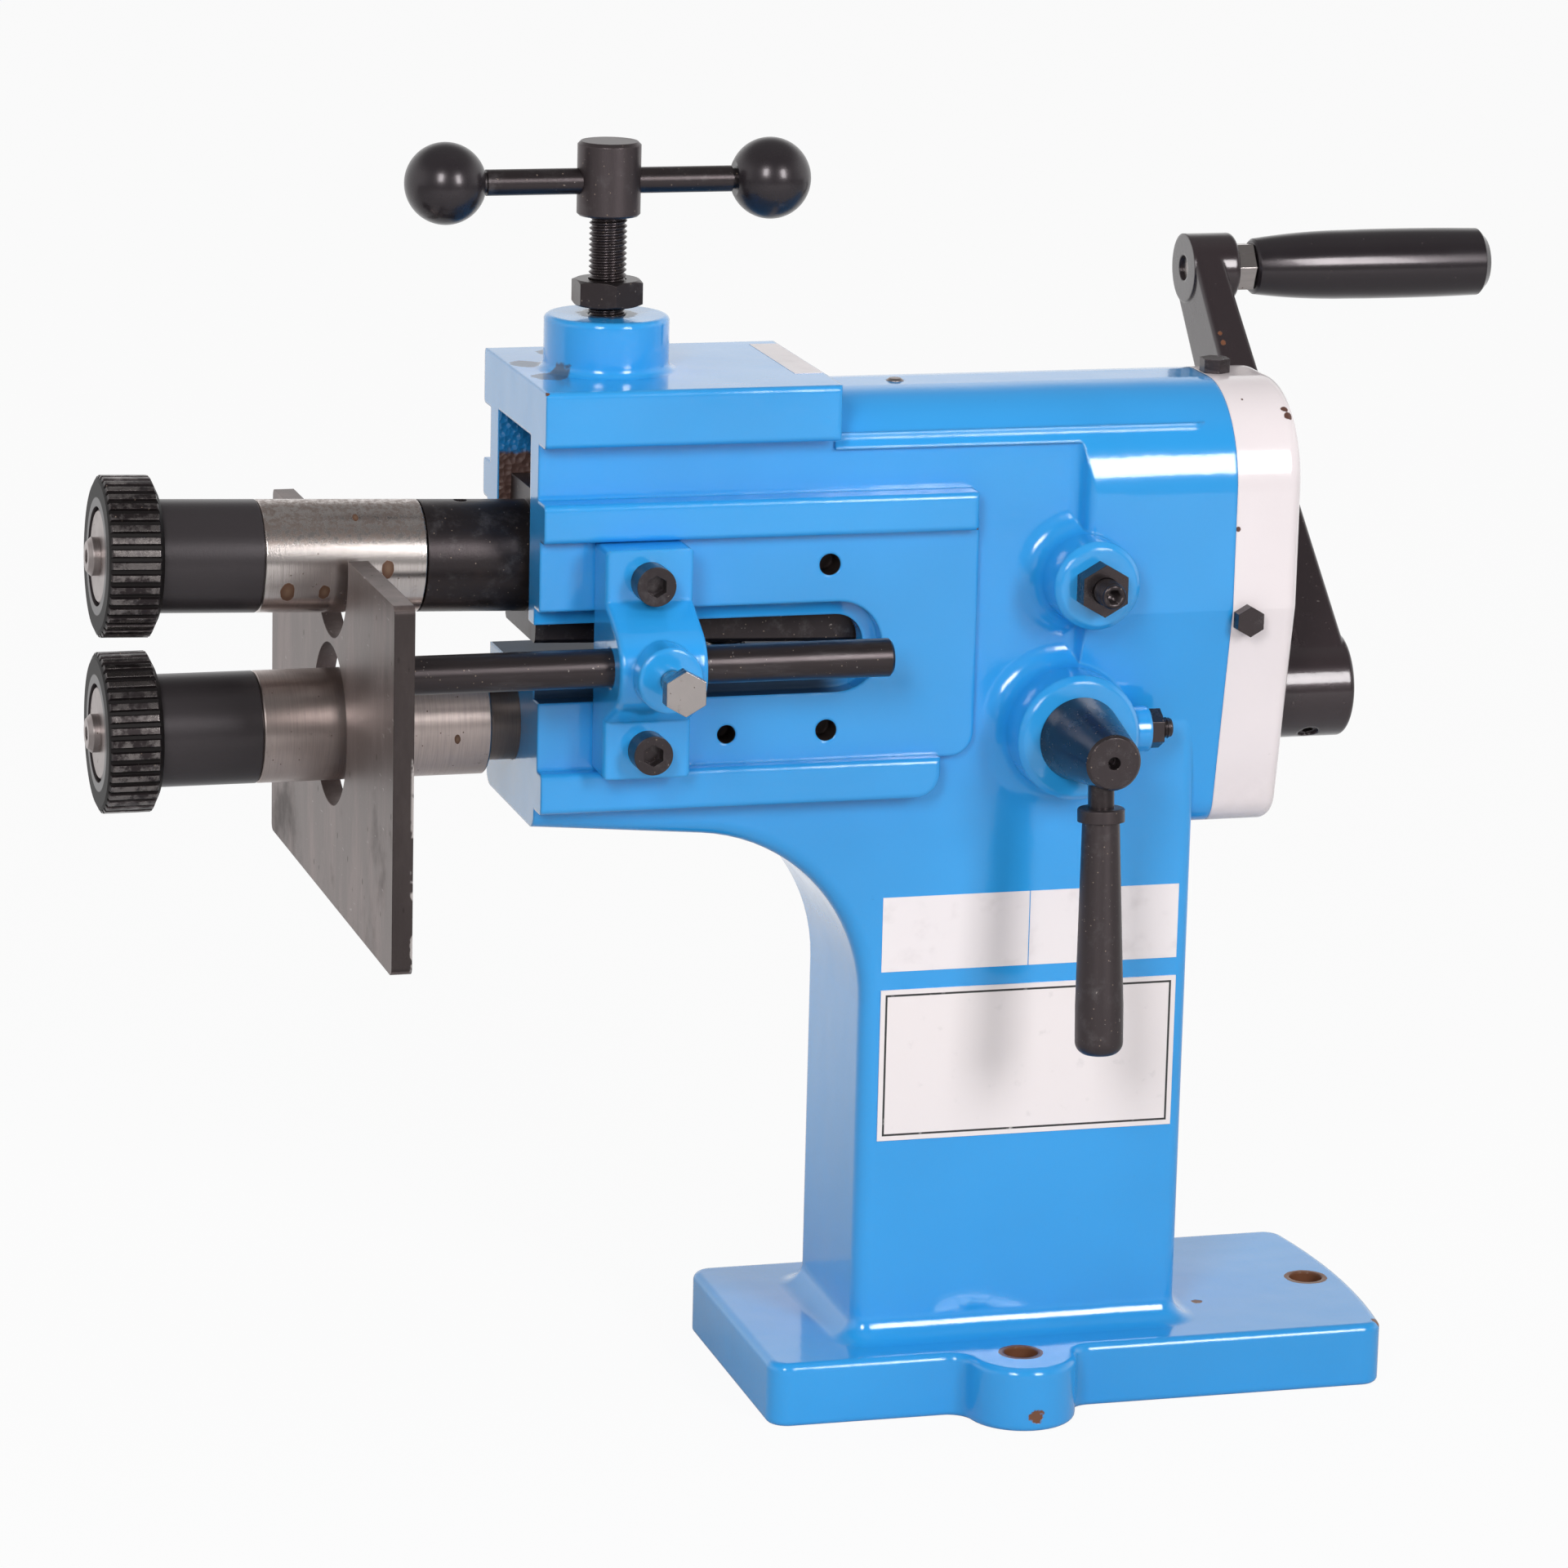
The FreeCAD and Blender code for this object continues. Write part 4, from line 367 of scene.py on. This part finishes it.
def black_oxide(name, tone=0.045, rough=0.30, brown=0.25, stretch=(1, 1, 1)):
    """Blacked steel with handling wear, specks and a brown bloom."""
    s = Shader(name, darker(OXIDE_TINT, tone), rough, metal=0.8, ior=1.6)
    wear = s.ramp(s.noise(90, 5, 0.7, stretch), 0.5, 0.8)
    s.mix(wear, (0.12, 0.107, 0.11), rough + 0.08)
    bloom = s.times(s.ramp(s.noise(35, 5, 0.6), 0.55, 0.75), brown)
    s.mix(bloom, (0.085, 0.045, 0.027), rough=0.55, metal=0.5)
    pits = s.ramp(s.cells(330), 0.10, 0.05)
    s.mix(pits, (0.24, 0.18, 0.14), rough=0.55, metal=0.3)
    dust = s.ramp(s.noise(650, 3, 0.6), 0.70, 0.76)
    s.mix(dust, (0.32, 0.28, 0.26), rough=0.5, metal=0.5)
    s.raise_by(s.noise(900, 3, 0.6, stretch), 0.00003)
    return s


def roll_oxide(name, upper):
    """Blacked roll: painted shade in the grooves, tooth crests worn bright."""
    s = black_oxide(name, 0.034, 0.32, 0.1)
    s.main.inputs["IOR"].default_value = 1.35
    reach = s.reach(upper)
    # painted shade: the grooves between the teeth are made near black
    groove = s.ramp(reach, 0.0288, 0.0278)
    s.mix(groove, (0.010, 0.008, 0.008), rough=0.55, metal=0.4)
    hub = s.ramp(reach, 0.0215, 0.0210)
    s.mix(hub, (0.052, 0.045, 0.048), rough=0.30)
    crest = s.times(s.ramp(reach, 0.02895, 0.0292), s.ramp(s.noise(130, 4, 0.7), 0.42, 0.6))
    s.mix(s.times(crest, 0.9), (0.24, 0.215, 0.21), rough=0.25, metal=0.95)
    return s.done(0.0004)


def turned_metal(name, color, rough, axis="x", rust=(), dirt=0.3, streak=2600.0, film_and_shade_from=None):
    """Lathe-turned metal: fine rings square to axis, brown spots and dull dirt.

    Above the height film_and_shade_from it wears a mottled brown film, partly real staining and
    partly painted shade that darkens the top.
    """
    scale = tuple(1.0 if letter == axis else 0.03 for letter in "xyz")
    s = Shader(name, color, rough, metal=1.0)
    rings = s.noise(streak, 3, 0.6, scale)
    s.mix(s.ramp(rings, 0.3, 0.8), darker(color, 0.8), rough + 0.06)
    s.mix(s.ramp(s.noise(30, 4), 0.45, 0.75), darker(color, 0.82))
    dull = s.times(s.ramp(s.noise(150, 6, 0.75), 0.6, 0.72), dirt)
    s.mix(dull, (0.13, 0.085, 0.06), rough + 0.2, 0.6)
    pits = s.ramp(s.cells(240), 0.085, 0.04)
    s.mix(pits, (0.10, 0.06, 0.045), rough=0.6, metal=0.4)
    # mottled brown stain above a height, which also serves as painted shade darkening the top
    if film_and_shade_from is not None:
        above = s.ramp(s.split[2], film_and_shade_from, film_and_shade_from + 0.004)
        patches = s.ramp(s.noise(480, 5, 0.7), 0.40, 0.58)
        s.mix(s.times(above, patches, 0.85), (0.26, 0.20, 0.175), rough=0.34, metal=0.8)
    long_spot = (1.6, 1, 1)
    for centre, radius in rust:
        drop = s.near(centre, radius, radius * 0.6, long_spot)
        blot = s.ramp(s.math("ADD", drop, s.times(s.noise(260, 4, 0.6), 0.9)), 0.92, 1.0)
        s.mix(blot, (0.115, 0.055, 0.032), rough=0.55, metal=0.3)
        heart = s.near(centre, radius * 0.45, radius * 0.4, long_spot)
        s.mix(s.times(heart, 0.8), (0.20, 0.12, 0.075), rough=0.5, metal=0.4)
    s.raise_by(rings, 0.00001)
    return s


def rolled_plate():
    """Hot-rolled plate: dark scale, drawn streaks, ground edge with bright nicks."""
    s = Shader("rolled_plate", (0.150, 0.117, 0.110), 0.40, metal=0.75)
    streaks = s.ramp(s.noise(60, 6, 0.7, (1, 1, 0.25)), 0.4, 0.75)
    s.mix(streaks, (0.27, 0.215, 0.205), rough=0.46)
    scratches = s.ramp(s.noise(380, 4, 0.7, (1, 0.25, 1)), 0.64, 0.75)
    s.mix(scratches, (0.38, 0.33, 0.32), rough=0.35)
    scale = s.ramp(s.noise(18, 5, 0.6), 0.55, 0.8)
    s.mix(scale, (0.075, 0.06, 0.056), rough=0.6)
    pits = s.ramp(s.cells(150, (1, 1, 0.4)), 0.09, 0.05)
    s.mix(pits, (0.05, 0.035, 0.03), rough=0.6, metal=0.4)
    edge = s.inside(*PLATE_EDGE, soft=0.0002)
    s.mix(s.times(edge, 0.85), (0.040, 0.032, 0.032), rough=0.42, metal=0.8)
    nick = s.near((-0.2700, -0.1080, 0), 0.0008, 0.0005, axes=(1, 1, 0))
    broken = s.ramp(s.noise(120, 3, 0.6, (1, 1, 0.7)), 0.54, 0.60)
    s.mix(s.times(nick, broken), (0.60, 0.55, 0.53), rough=0.3, metal=0.9)
    s.raise_by(s.noise(500, 5, 0.7), 0.00005)
    return s.done(0.0005)


def plastic(name, rough):
    """Black moulded plastic with a little dust."""
    s = Shader(name, PLASTIC_BLACK, rough, coat=0.15)
    s.main.inputs["Specular Tint"].default_value = WARM
    s.mix(s.ramp(s.noise(60, 4), 0.4, 0.8), rough=rough + 0.07)
    s.mix(s.ramp(s.noise(420, 5, 0.7), 0.68, 0.74), (0.09, 0.075, 0.07), rough=0.5)
    s.raise_by(s.noise(600, 2), 0.00001)
    return s.done(0.0005)


def bordered(name, color, centre, size, inset, line):
    """Flat plate facing the operator with a thin printed frame."""
    s = Shader(name, color, 0.32, metal=0.1, coat=0.15)
    inside = []
    for out, middle, whole in ((0, centre[0], size[0]), (2, centre[1], size[1])):
        away = s.math("ABSOLUTE", s.math("SUBTRACT", s.split[out], middle))
        inside.append(s.math("SUBTRACT", whole / 2, away))
    edge = s.math("MINIMUM", inside[0], inside[1])
    off = s.math("ABSOLUTE", s.math("SUBTRACT", edge, inset))
    s.mix(s.ramp(off, line, line * 0.6), (0.02, 0.02, 0.02), rough=0.5, metal=0.0)
    s.mix(s.ramp(s.noise(160, 4), 0.62, 0.8), darker(color, 0.88))
    s.raise_by(s.noise(300, 2), 0.00001)
    return s.done()


def paper():
    """Blank paper of the labels."""
    s = Shader("label_paper", (0.86, 0.80, 0.81), 0.42, coat=0.2)
    s.mix(s.ramp(s.noise(120, 4), 0.5, 0.8), (0.78, 0.72, 0.73))
    s.raise_by(s.noise(500, 3), 0.00001)
    return s.done()


FINE_EDGE = 0.0004  # the radius that the edges of machined pieces seem to have
FINISH = {
    "blue": casting_enamel(),
    "white": cover_enamel(),
    "black_paint": crank_enamel(),
    "oxide": black_oxide("black_oxide").done(FINE_EDGE),
    "oxide_hub": black_oxide("black_oxide_hub", 0.075, 0.36, 0.1).done(FINE_EDGE),
    "oxide_rod": black_oxide("black_oxide_rod", 0.045, 0.30, 0.2, (0.15, 1, 1)).done(FINE_EDGE),
    "oxide_lever": black_oxide("black_oxide_lever", 0.06, 0.40, 0.12).done(FINE_EDGE),
    "oxide_dark": black_oxide("black_oxide_dark", 0.055, 0.26, 0.1).done(FINE_EDGE),
    "upper_roll": roll_oxide("upper_roll_oxide", True),
    "lower_roll": roll_oxide("lower_roll_oxide", False),
    "arm": black_oxide("arm_oxide", 0.036, 0.34, 0.35).done(0.0006),
    "nickel": turned_metal("nickel_sleeve", (0.66, 0.60, 0.575), 0.19, rust=SLEEVE_RUST,
                           dirt=0.25, film_and_shade_from=0.331).done(FINE_EDGE),
    "nickel_dull": turned_metal("nickel_dull", (0.50, 0.42, 0.395), 0.30,
                                rust=LOWER_SLEEVE_RUST, dirt=0.6).done(FINE_EDGE),
    "quill": turned_metal("quill_steel", (0.17, 0.135, 0.12), 0.36, dirt=0.8).done(FINE_EDGE),
    "steel": turned_metal("ground_steel", (0.34, 0.30, 0.285), 0.30).done(FINE_EDGE),
    "washer": turned_metal("washer_steel", (0.42, 0.37, 0.36), 0.36, dirt=0.9).done(FINE_EDGE),
    "zinc": turned_metal("zinc_plate", (0.50, 0.455, 0.44), 0.24, "y", streak=900.0).done(0.0005),
    "gear": turned_metal("gear_steel", (0.32, 0.32, 0.33), 0.32).done(FINE_EDGE),
    "bronze": turned_metal("bronze", (0.42, 0.27, 0.12), 0.35).done(FINE_EDGE),
    "plate": rolled_plate(),
    "plastic": plastic("ball_plastic", 0.27),
    "grip": plastic("grip_plastic", 0.2),
    "foil": bordered("name_foil", (0.88, 0.81, 0.81), centre=(-0.01815, 0.1317),
                     size=(0.1158, 0.0584), inset=0.0022, line=0.0005),
    "paper": paper(),
}
PLAIN_FINISH = "oxide"  # of every node that isn't listed here
WEARERS = {
    "blue": ("frame_casting", "guide_bracket"),
    "white": ("gear_cover",),
    "black_paint": ("crank_arm",),
    "arm": ("upper_arm",),
    "upper_roll": ("upper_roll",),
    "lower_roll": ("lower_roll",),
    "nickel": ("upper_spacer_sleeve",),
    "nickel_dull": ("lower_spacer_sleeve",),
    "quill": ("lower_quill",),
    "washer": ("upper_roll_washer", "lower_roll_washer", "upper_roll_screw", "lower_roll_screw",
               "oil_plug"),
    "steel": ("upper_shaft", "lower_shaft", "pressure_pad"),
    "gear": ("upper_gear", "lower_gear"),
    "bronze": ("upper_front_bush", "upper_rear_bush", "lower_front_bush", "lower_rear_bush"),
    "plate": ("guide_plate",),
    "oxide_rod": ("guide_rod",),
    "zinc": ("guide_lock_bolt", "grip_spindle"),
    "plastic": ("left_ball_knob", "right_ball_knob"),
    "grip": ("crank_grip",),
    "oxide_lever": ("lever_handle",),
    "foil": ("name_plate",),
    "paper": ("blank_labels",),
    "oxide_hub": ("cross_hub",),
    "oxide_dark": ("eccentric_shaft", "front_pivot_nut", "back_pivot_nut", "shifter_lock_nut",
                   "cover_bolts"),
}
finish_of = {node: finish for finish, nodes in WEARERS.items() for node in nodes}
for node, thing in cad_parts.items():
    thing.data.materials.clear()
    thing.data.materials.append(FINISH[finish_of.get(node, PLAIN_FINISH)])


# ------------------------------------------------------------------ detail pieces
def add_mesh(name, points, faces, finish, body, smooth=True):
    """A piece of the scene that moves with a body."""
    mesh = bpy.data.meshes.new(name)
    mesh.from_pydata([tuple(p) for p in points], [], faces)
    mesh.validate()
    if smooth:
        mesh.shade_smooth()
    mesh.materials.append(FINISH[finish])
    thing = bpy.data.objects.new(name, mesh)
    bpy.context.scene.collection.objects.link(thing)
    bpy.context.view_layer.update()
    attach(thing, body)
    return thing


def hexagon_reach(angle, flats):
    """Distance from a hexagon's centre to its side in one direction."""
    step = math.pi / 3
    return flats / 2 / math.cos((angle % step) - step / 2)


def threaded_rod(name, start, direction, length, radius, pitch, finish, body, depth=0.6,
                 socket=None):
    """A right-hand thread along direction, its depth a share of the pitch.

    The socket is the flats and the depth of a hexagon at the far end.
    """
    along = Vector(direction).normalized()
    turn = along.to_track_quat("Z", "Y").to_matrix()
    around, steps = 48, 8
    rows = int(length / pitch * steps) + 1
    points, faces = [], []

    def ring(reach_at, height):
        for i in range(around):
            angle = 2 * math.pi * i / around
            reach = reach_at(i, angle)
            local = Vector((reach * math.cos(angle), reach * math.sin(angle), height))
            points.append(Vector(start) + turn @ local)

    def join(low, high):
        for i in range(around):
            j = (i + 1) % around
            faces.append((low * around + i, low * around + j, high * around + j,
                          high * around + i))

    for row in range(rows + 1):
        height = min(row * pitch / steps, length)
        ease = min(1.0, height / pitch, (length - height) / pitch)
        ring(lambda i, angle: radius - depth * pitch * (
            1 - (1 - abs(2 * ((height / pitch - i / around) % 1.0) - 1)) * ease), height)
        if row:
            join(row - 1, row)
    if socket:
        flats, deep = socket
        for height in (length, length - deep):
            ring(lambda i, angle: hexagon_reach(angle, flats), height)
        join(rows, rows + 1)
        join(rows + 1, rows + 2)
    count = len(points) // around
    faces.append(tuple(reversed(range(around))))
    faces.append(tuple(range((count - 1) * around, count * around)))
    return add_mesh(name, points, faces, finish, body)


def stand_for(piece, node):
    """Show a piece in place of a node."""
    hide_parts(node)


def add_threads():
    """Threads of the screws that show them, in place of their plain cylinders."""
    low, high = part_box("clamp_screw")
    stand_for(threaded_rod("clamp_screw_thread", (SCREW_X, 0, low.z), (0, 0, 1),
                           length=high.z - low.z, radius=0.007, pitch=0.002,
                           finish="oxide_dark", body="clamp"),
              "clamp_screw")
    for side, name in ((-1, "front"), (1, "back")):
        node = name + "_pivot_screw"
        low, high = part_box(node)
        inner = high.y if side < 0 else low.y
        stand_for(threaded_rod(name + "_pivot_thread", (PIVOT[0], inner, PIVOT[1]), (0, side, 0),
                               length=high.y - low.y, radius=0.005, pitch=0.0015,
                               finish="oxide", body="frame", depth=0.5, socket=(0.005, 0.004)),
                  node)
    low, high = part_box("shifter_lock_screw")
    middle = (low + high) / 2
    stand_for(threaded_rod("shifter_lock_thread", (low.x, middle.y, middle.z), (1, 0, 0),
                           length=high.x - low.x, radius=0.004, pitch=0.00125,
                           finish="oxide_dark", body="shifter_lock", depth=0.5,
                           socket=(0.004, 0.003)),
              "shifter_lock_screw")


def add_lift_spring():
    """The coil under the arm, built at one fixed length."""
    low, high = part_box("arm_lift_spring")
    wire, turns, around, steps = 0.0009, 5, 10, 32
    middle = (low + high) / 2
    coil = (high.x - low.x) / 2 - wire
    base, rise = low.z + wire, high.z - low.z - 2 * wire
    points, faces = [], []
    for k in range(turns * steps + 1):
        angle = 2 * math.pi * k / steps
        out = Vector((math.cos(angle), math.sin(angle), 0))
        core = Vector((middle.x, middle.y, base + rise * k / (turns * steps))) + coil * out
        for i in range(around):
            turn = 2 * math.pi * i / around
            points.append(core + wire * (math.cos(turn) * out
                                         + math.sin(turn) * Vector((0, 0, 1))))
            if k:
                j, last = (i + 1) % around, (k - 1) * around
                faces.append((last + i, last + j, k * around + j, k * around + i))
    faces.append(tuple(range(around)))
    faces.append(tuple(reversed(range(len(points) - around, len(points)))))
    piece = add_mesh("lift_spring_coil", points, faces, "oxide", "frame")
    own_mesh(piece)
    stand_for(piece, "arm_lift_spring")


def add_block_label():
    """A blank paper label stuck across the right end of the top block."""
    corners = [(-0.1105, -0.0225), (-0.0998, -0.0225), (-0.0998, 0.0400), (-0.1105, 0.0405)]
    under, over = BLOCK_TOP - 0.0001, BLOCK_TOP + 0.00015
    points = [(x, y, under) for x, y in corners] + [(x, y, over) for x, y in corners]
    faces = [(4, 5, 6, 7), (0, 1, 5, 4), (1, 2, 6, 5), (2, 3, 7, 6), (3, 0, 4, 7), (3, 2, 1, 0)]
    add_mesh("block_label", points, faces, "paper", "frame", False)


add_threads()
add_lift_spring()
add_block_label()

# ------------------------------------------------------------------ camera, light and floor
CAMERA_PLACE = (-0.7404, -2.2133, 0.7960)
CAMERA_TURN = (-16.03, 13.76, 1.37)  # azimuth, elevation and roll, degrees
CAMERA_SENSOR = 36.0                 # mm
CAMERA_LENS = 145.76                 # mm
LIGHT_TARGET = (-0.05, 0, 0.28)
FLOOR_REACH = 12.0
FLOOR_WHITE = 0.94   # share of plain white in the floor as the camera sees it
WORLD_MIRRORED = 0.1  # share of plain white in the world as mirrors see it
DIM = 0.20           # strength of the world overhead and at the operator's side


def bearing(azimuth, elevation):
    """Direction from the object towards a bearing in radians."""
    return Vector((math.sin(azimuth) * math.cos(elevation),
                   -math.cos(azimuth) * math.cos(elevation), math.sin(elevation)))


def look(azimuth, elevation, roll):
    """Rotation of a camera that looks at the object from a bearing, in degrees."""
    a, e, r = (math.radians(x) for x in (azimuth, elevation, roll))
    back = bearing(a, e)
    right = (-back).cross(Vector((0, 0, 1))).normalized()
    up = right.cross(-back)
    side = math.cos(r) * right + math.sin(r) * up
    top = -math.sin(r) * right + math.cos(r) * up
    return Matrix((side, top, back)).transposed().to_4x4()


def make_camera():
    data = bpy.data.cameras.new("camera")
    data.sensor_width = CAMERA_SENSOR
    data.lens = CAMERA_LENS
    data.clip_start, data.clip_end = 0.05, 50.0
    camera = bpy.data.objects.new("camera", data)
    bpy.context.scene.collection.objects.link(camera)
    camera.matrix_world = Matrix.Translation(CAMERA_PLACE) @ look(*CAMERA_TURN)
    bpy.context.scene.camera = camera


def add_light(name, azimuth, elevation, away, size, power, mirrored=True):
    """Soft box on a bearing from the object, in degrees, aimed at it."""
    aim = -bearing(math.radians(azimuth), math.radians(elevation))
    data = bpy.data.lights.new(name, "AREA")
    data.shape = "RECTANGLE"
    data.size, data.size_y = size
    data.energy = power
    lamp = bpy.data.objects.new(name, data)
    bpy.context.scene.collection.objects.link(lamp)
    lamp.visible_glossy = mirrored
    lamp.matrix_world = (Matrix.Translation(Vector(LIGHT_TARGET) - aim * away)
                         @ aim.to_track_quat("-Z", "Y").to_matrix().to_4x4())


def surround_share(tree, direct, mirrored):
    """How much of a ray sees plain white: one share for the camera, one for reflections."""
    path = tree.nodes.new("ShaderNodeLightPath").outputs
    camera, glossy, through = (
        compute(tree, "MULTIPLY", path[ray], share)
        for ray, share in (("Is Camera Ray", direct), ("Is Glossy Ray", mirrored),
                           ("Is Transmission Ray", mirrored)))
    return compute(tree, "MAXIMUM", compute(tree, "MAXIMUM", camera, glossy), through)


def make_floor():
    """White paper, lit from behind the object and dimmer in front of it."""
    s = Shader("floor_paper", (0.62, 0.62, 0.62), 0.9)
    s.mix(s.ramp(s.noise(3, 3), 0.3, 0.8), (0.60, 0.60, 0.60))
    material = s.done()
    white = s.node("ShaderNodeEmission", Strength=1.0)
    lit = fade(s.tree, s.split[1], 0.0, 0.6, 0.05, 0.95)
    both = s.node("ShaderNodeMixShader")
    s.put(both.inputs[0], surround_share(s.tree, FLOOR_WHITE, lit))
    s.put(both.inputs[1], s.main.outputs[0])
    s.put(both.inputs[2], white.outputs[0])
    s.put(s.tree.nodes["Material Output"].inputs["Surface"], both.outputs[0])
    floor = bpy.data.meshes.new("floor")
    floor.from_pydata([(-FLOOR_REACH, -FLOOR_REACH, 0), (FLOOR_REACH, -FLOOR_REACH, 0),
                       (FLOOR_REACH, FLOOR_REACH, 0), (-FLOOR_REACH, FLOOR_REACH, 0)],
                      [], [(0, 1, 2, 3)])
    floor.materials.append(material)
    thing = bpy.data.objects.new("floor", floor)
    bpy.context.scene.collection.objects.link(thing)


def make_world():
    """White round the horizon and behind, dimmer overhead and at the operator's side."""
    world = bpy.data.worlds.new("studio")
    world.use_nodes = True
    tree = world.node_tree
    base = tree.nodes["Background"]
    place = tree.nodes.new("ShaderNodeTexCoord")
    split = tree.nodes.new("ShaderNodeSeparateXYZ")
    put(tree, split.inputs[0], place.outputs["Generated"])
    overhead = fade(tree, split.outputs["Z"], 0.30, 0.75, 1.0, DIM)
    front = fade(tree, split.outputs["Y"], -0.75, 0.0, DIM, 1.0)
    put(tree, base.inputs["Strength"], compute(tree, "MULTIPLY", overhead, front))
    white = tree.nodes.new("ShaderNodeBackground")
    white.inputs["Strength"].default_value = 1.0
    for background in (base, white):
        background.inputs["Color"].default_value = (1, 1, 1, 1)
    choose = tree.nodes.new("ShaderNodeMixShader")
    put(tree, choose.inputs[0], surround_share(tree, 1.0, WORLD_MIRRORED))
    put(tree, choose.inputs[1], base.outputs[0])
    put(tree, choose.inputs[2], white.outputs[0])
    put(tree, tree.nodes["World Output"].inputs["Surface"], choose.outputs[0])
    bpy.context.scene.world = world


make_camera()
make_floor()
make_world()
add_light("left_box", azimuth=-30, elevation=26, away=2.6, size=(0.55, 0.90), power=28)
add_light("right_box", azimuth=22, elevation=22, away=2.6, size=(0.55, 0.95), power=30)
add_light("top_box", azimuth=20, elevation=78, away=2.4, size=(2.2, 1.6), power=12,
          mirrored=False)
bpy.context.scene.view_settings.view_transform = "Standard"
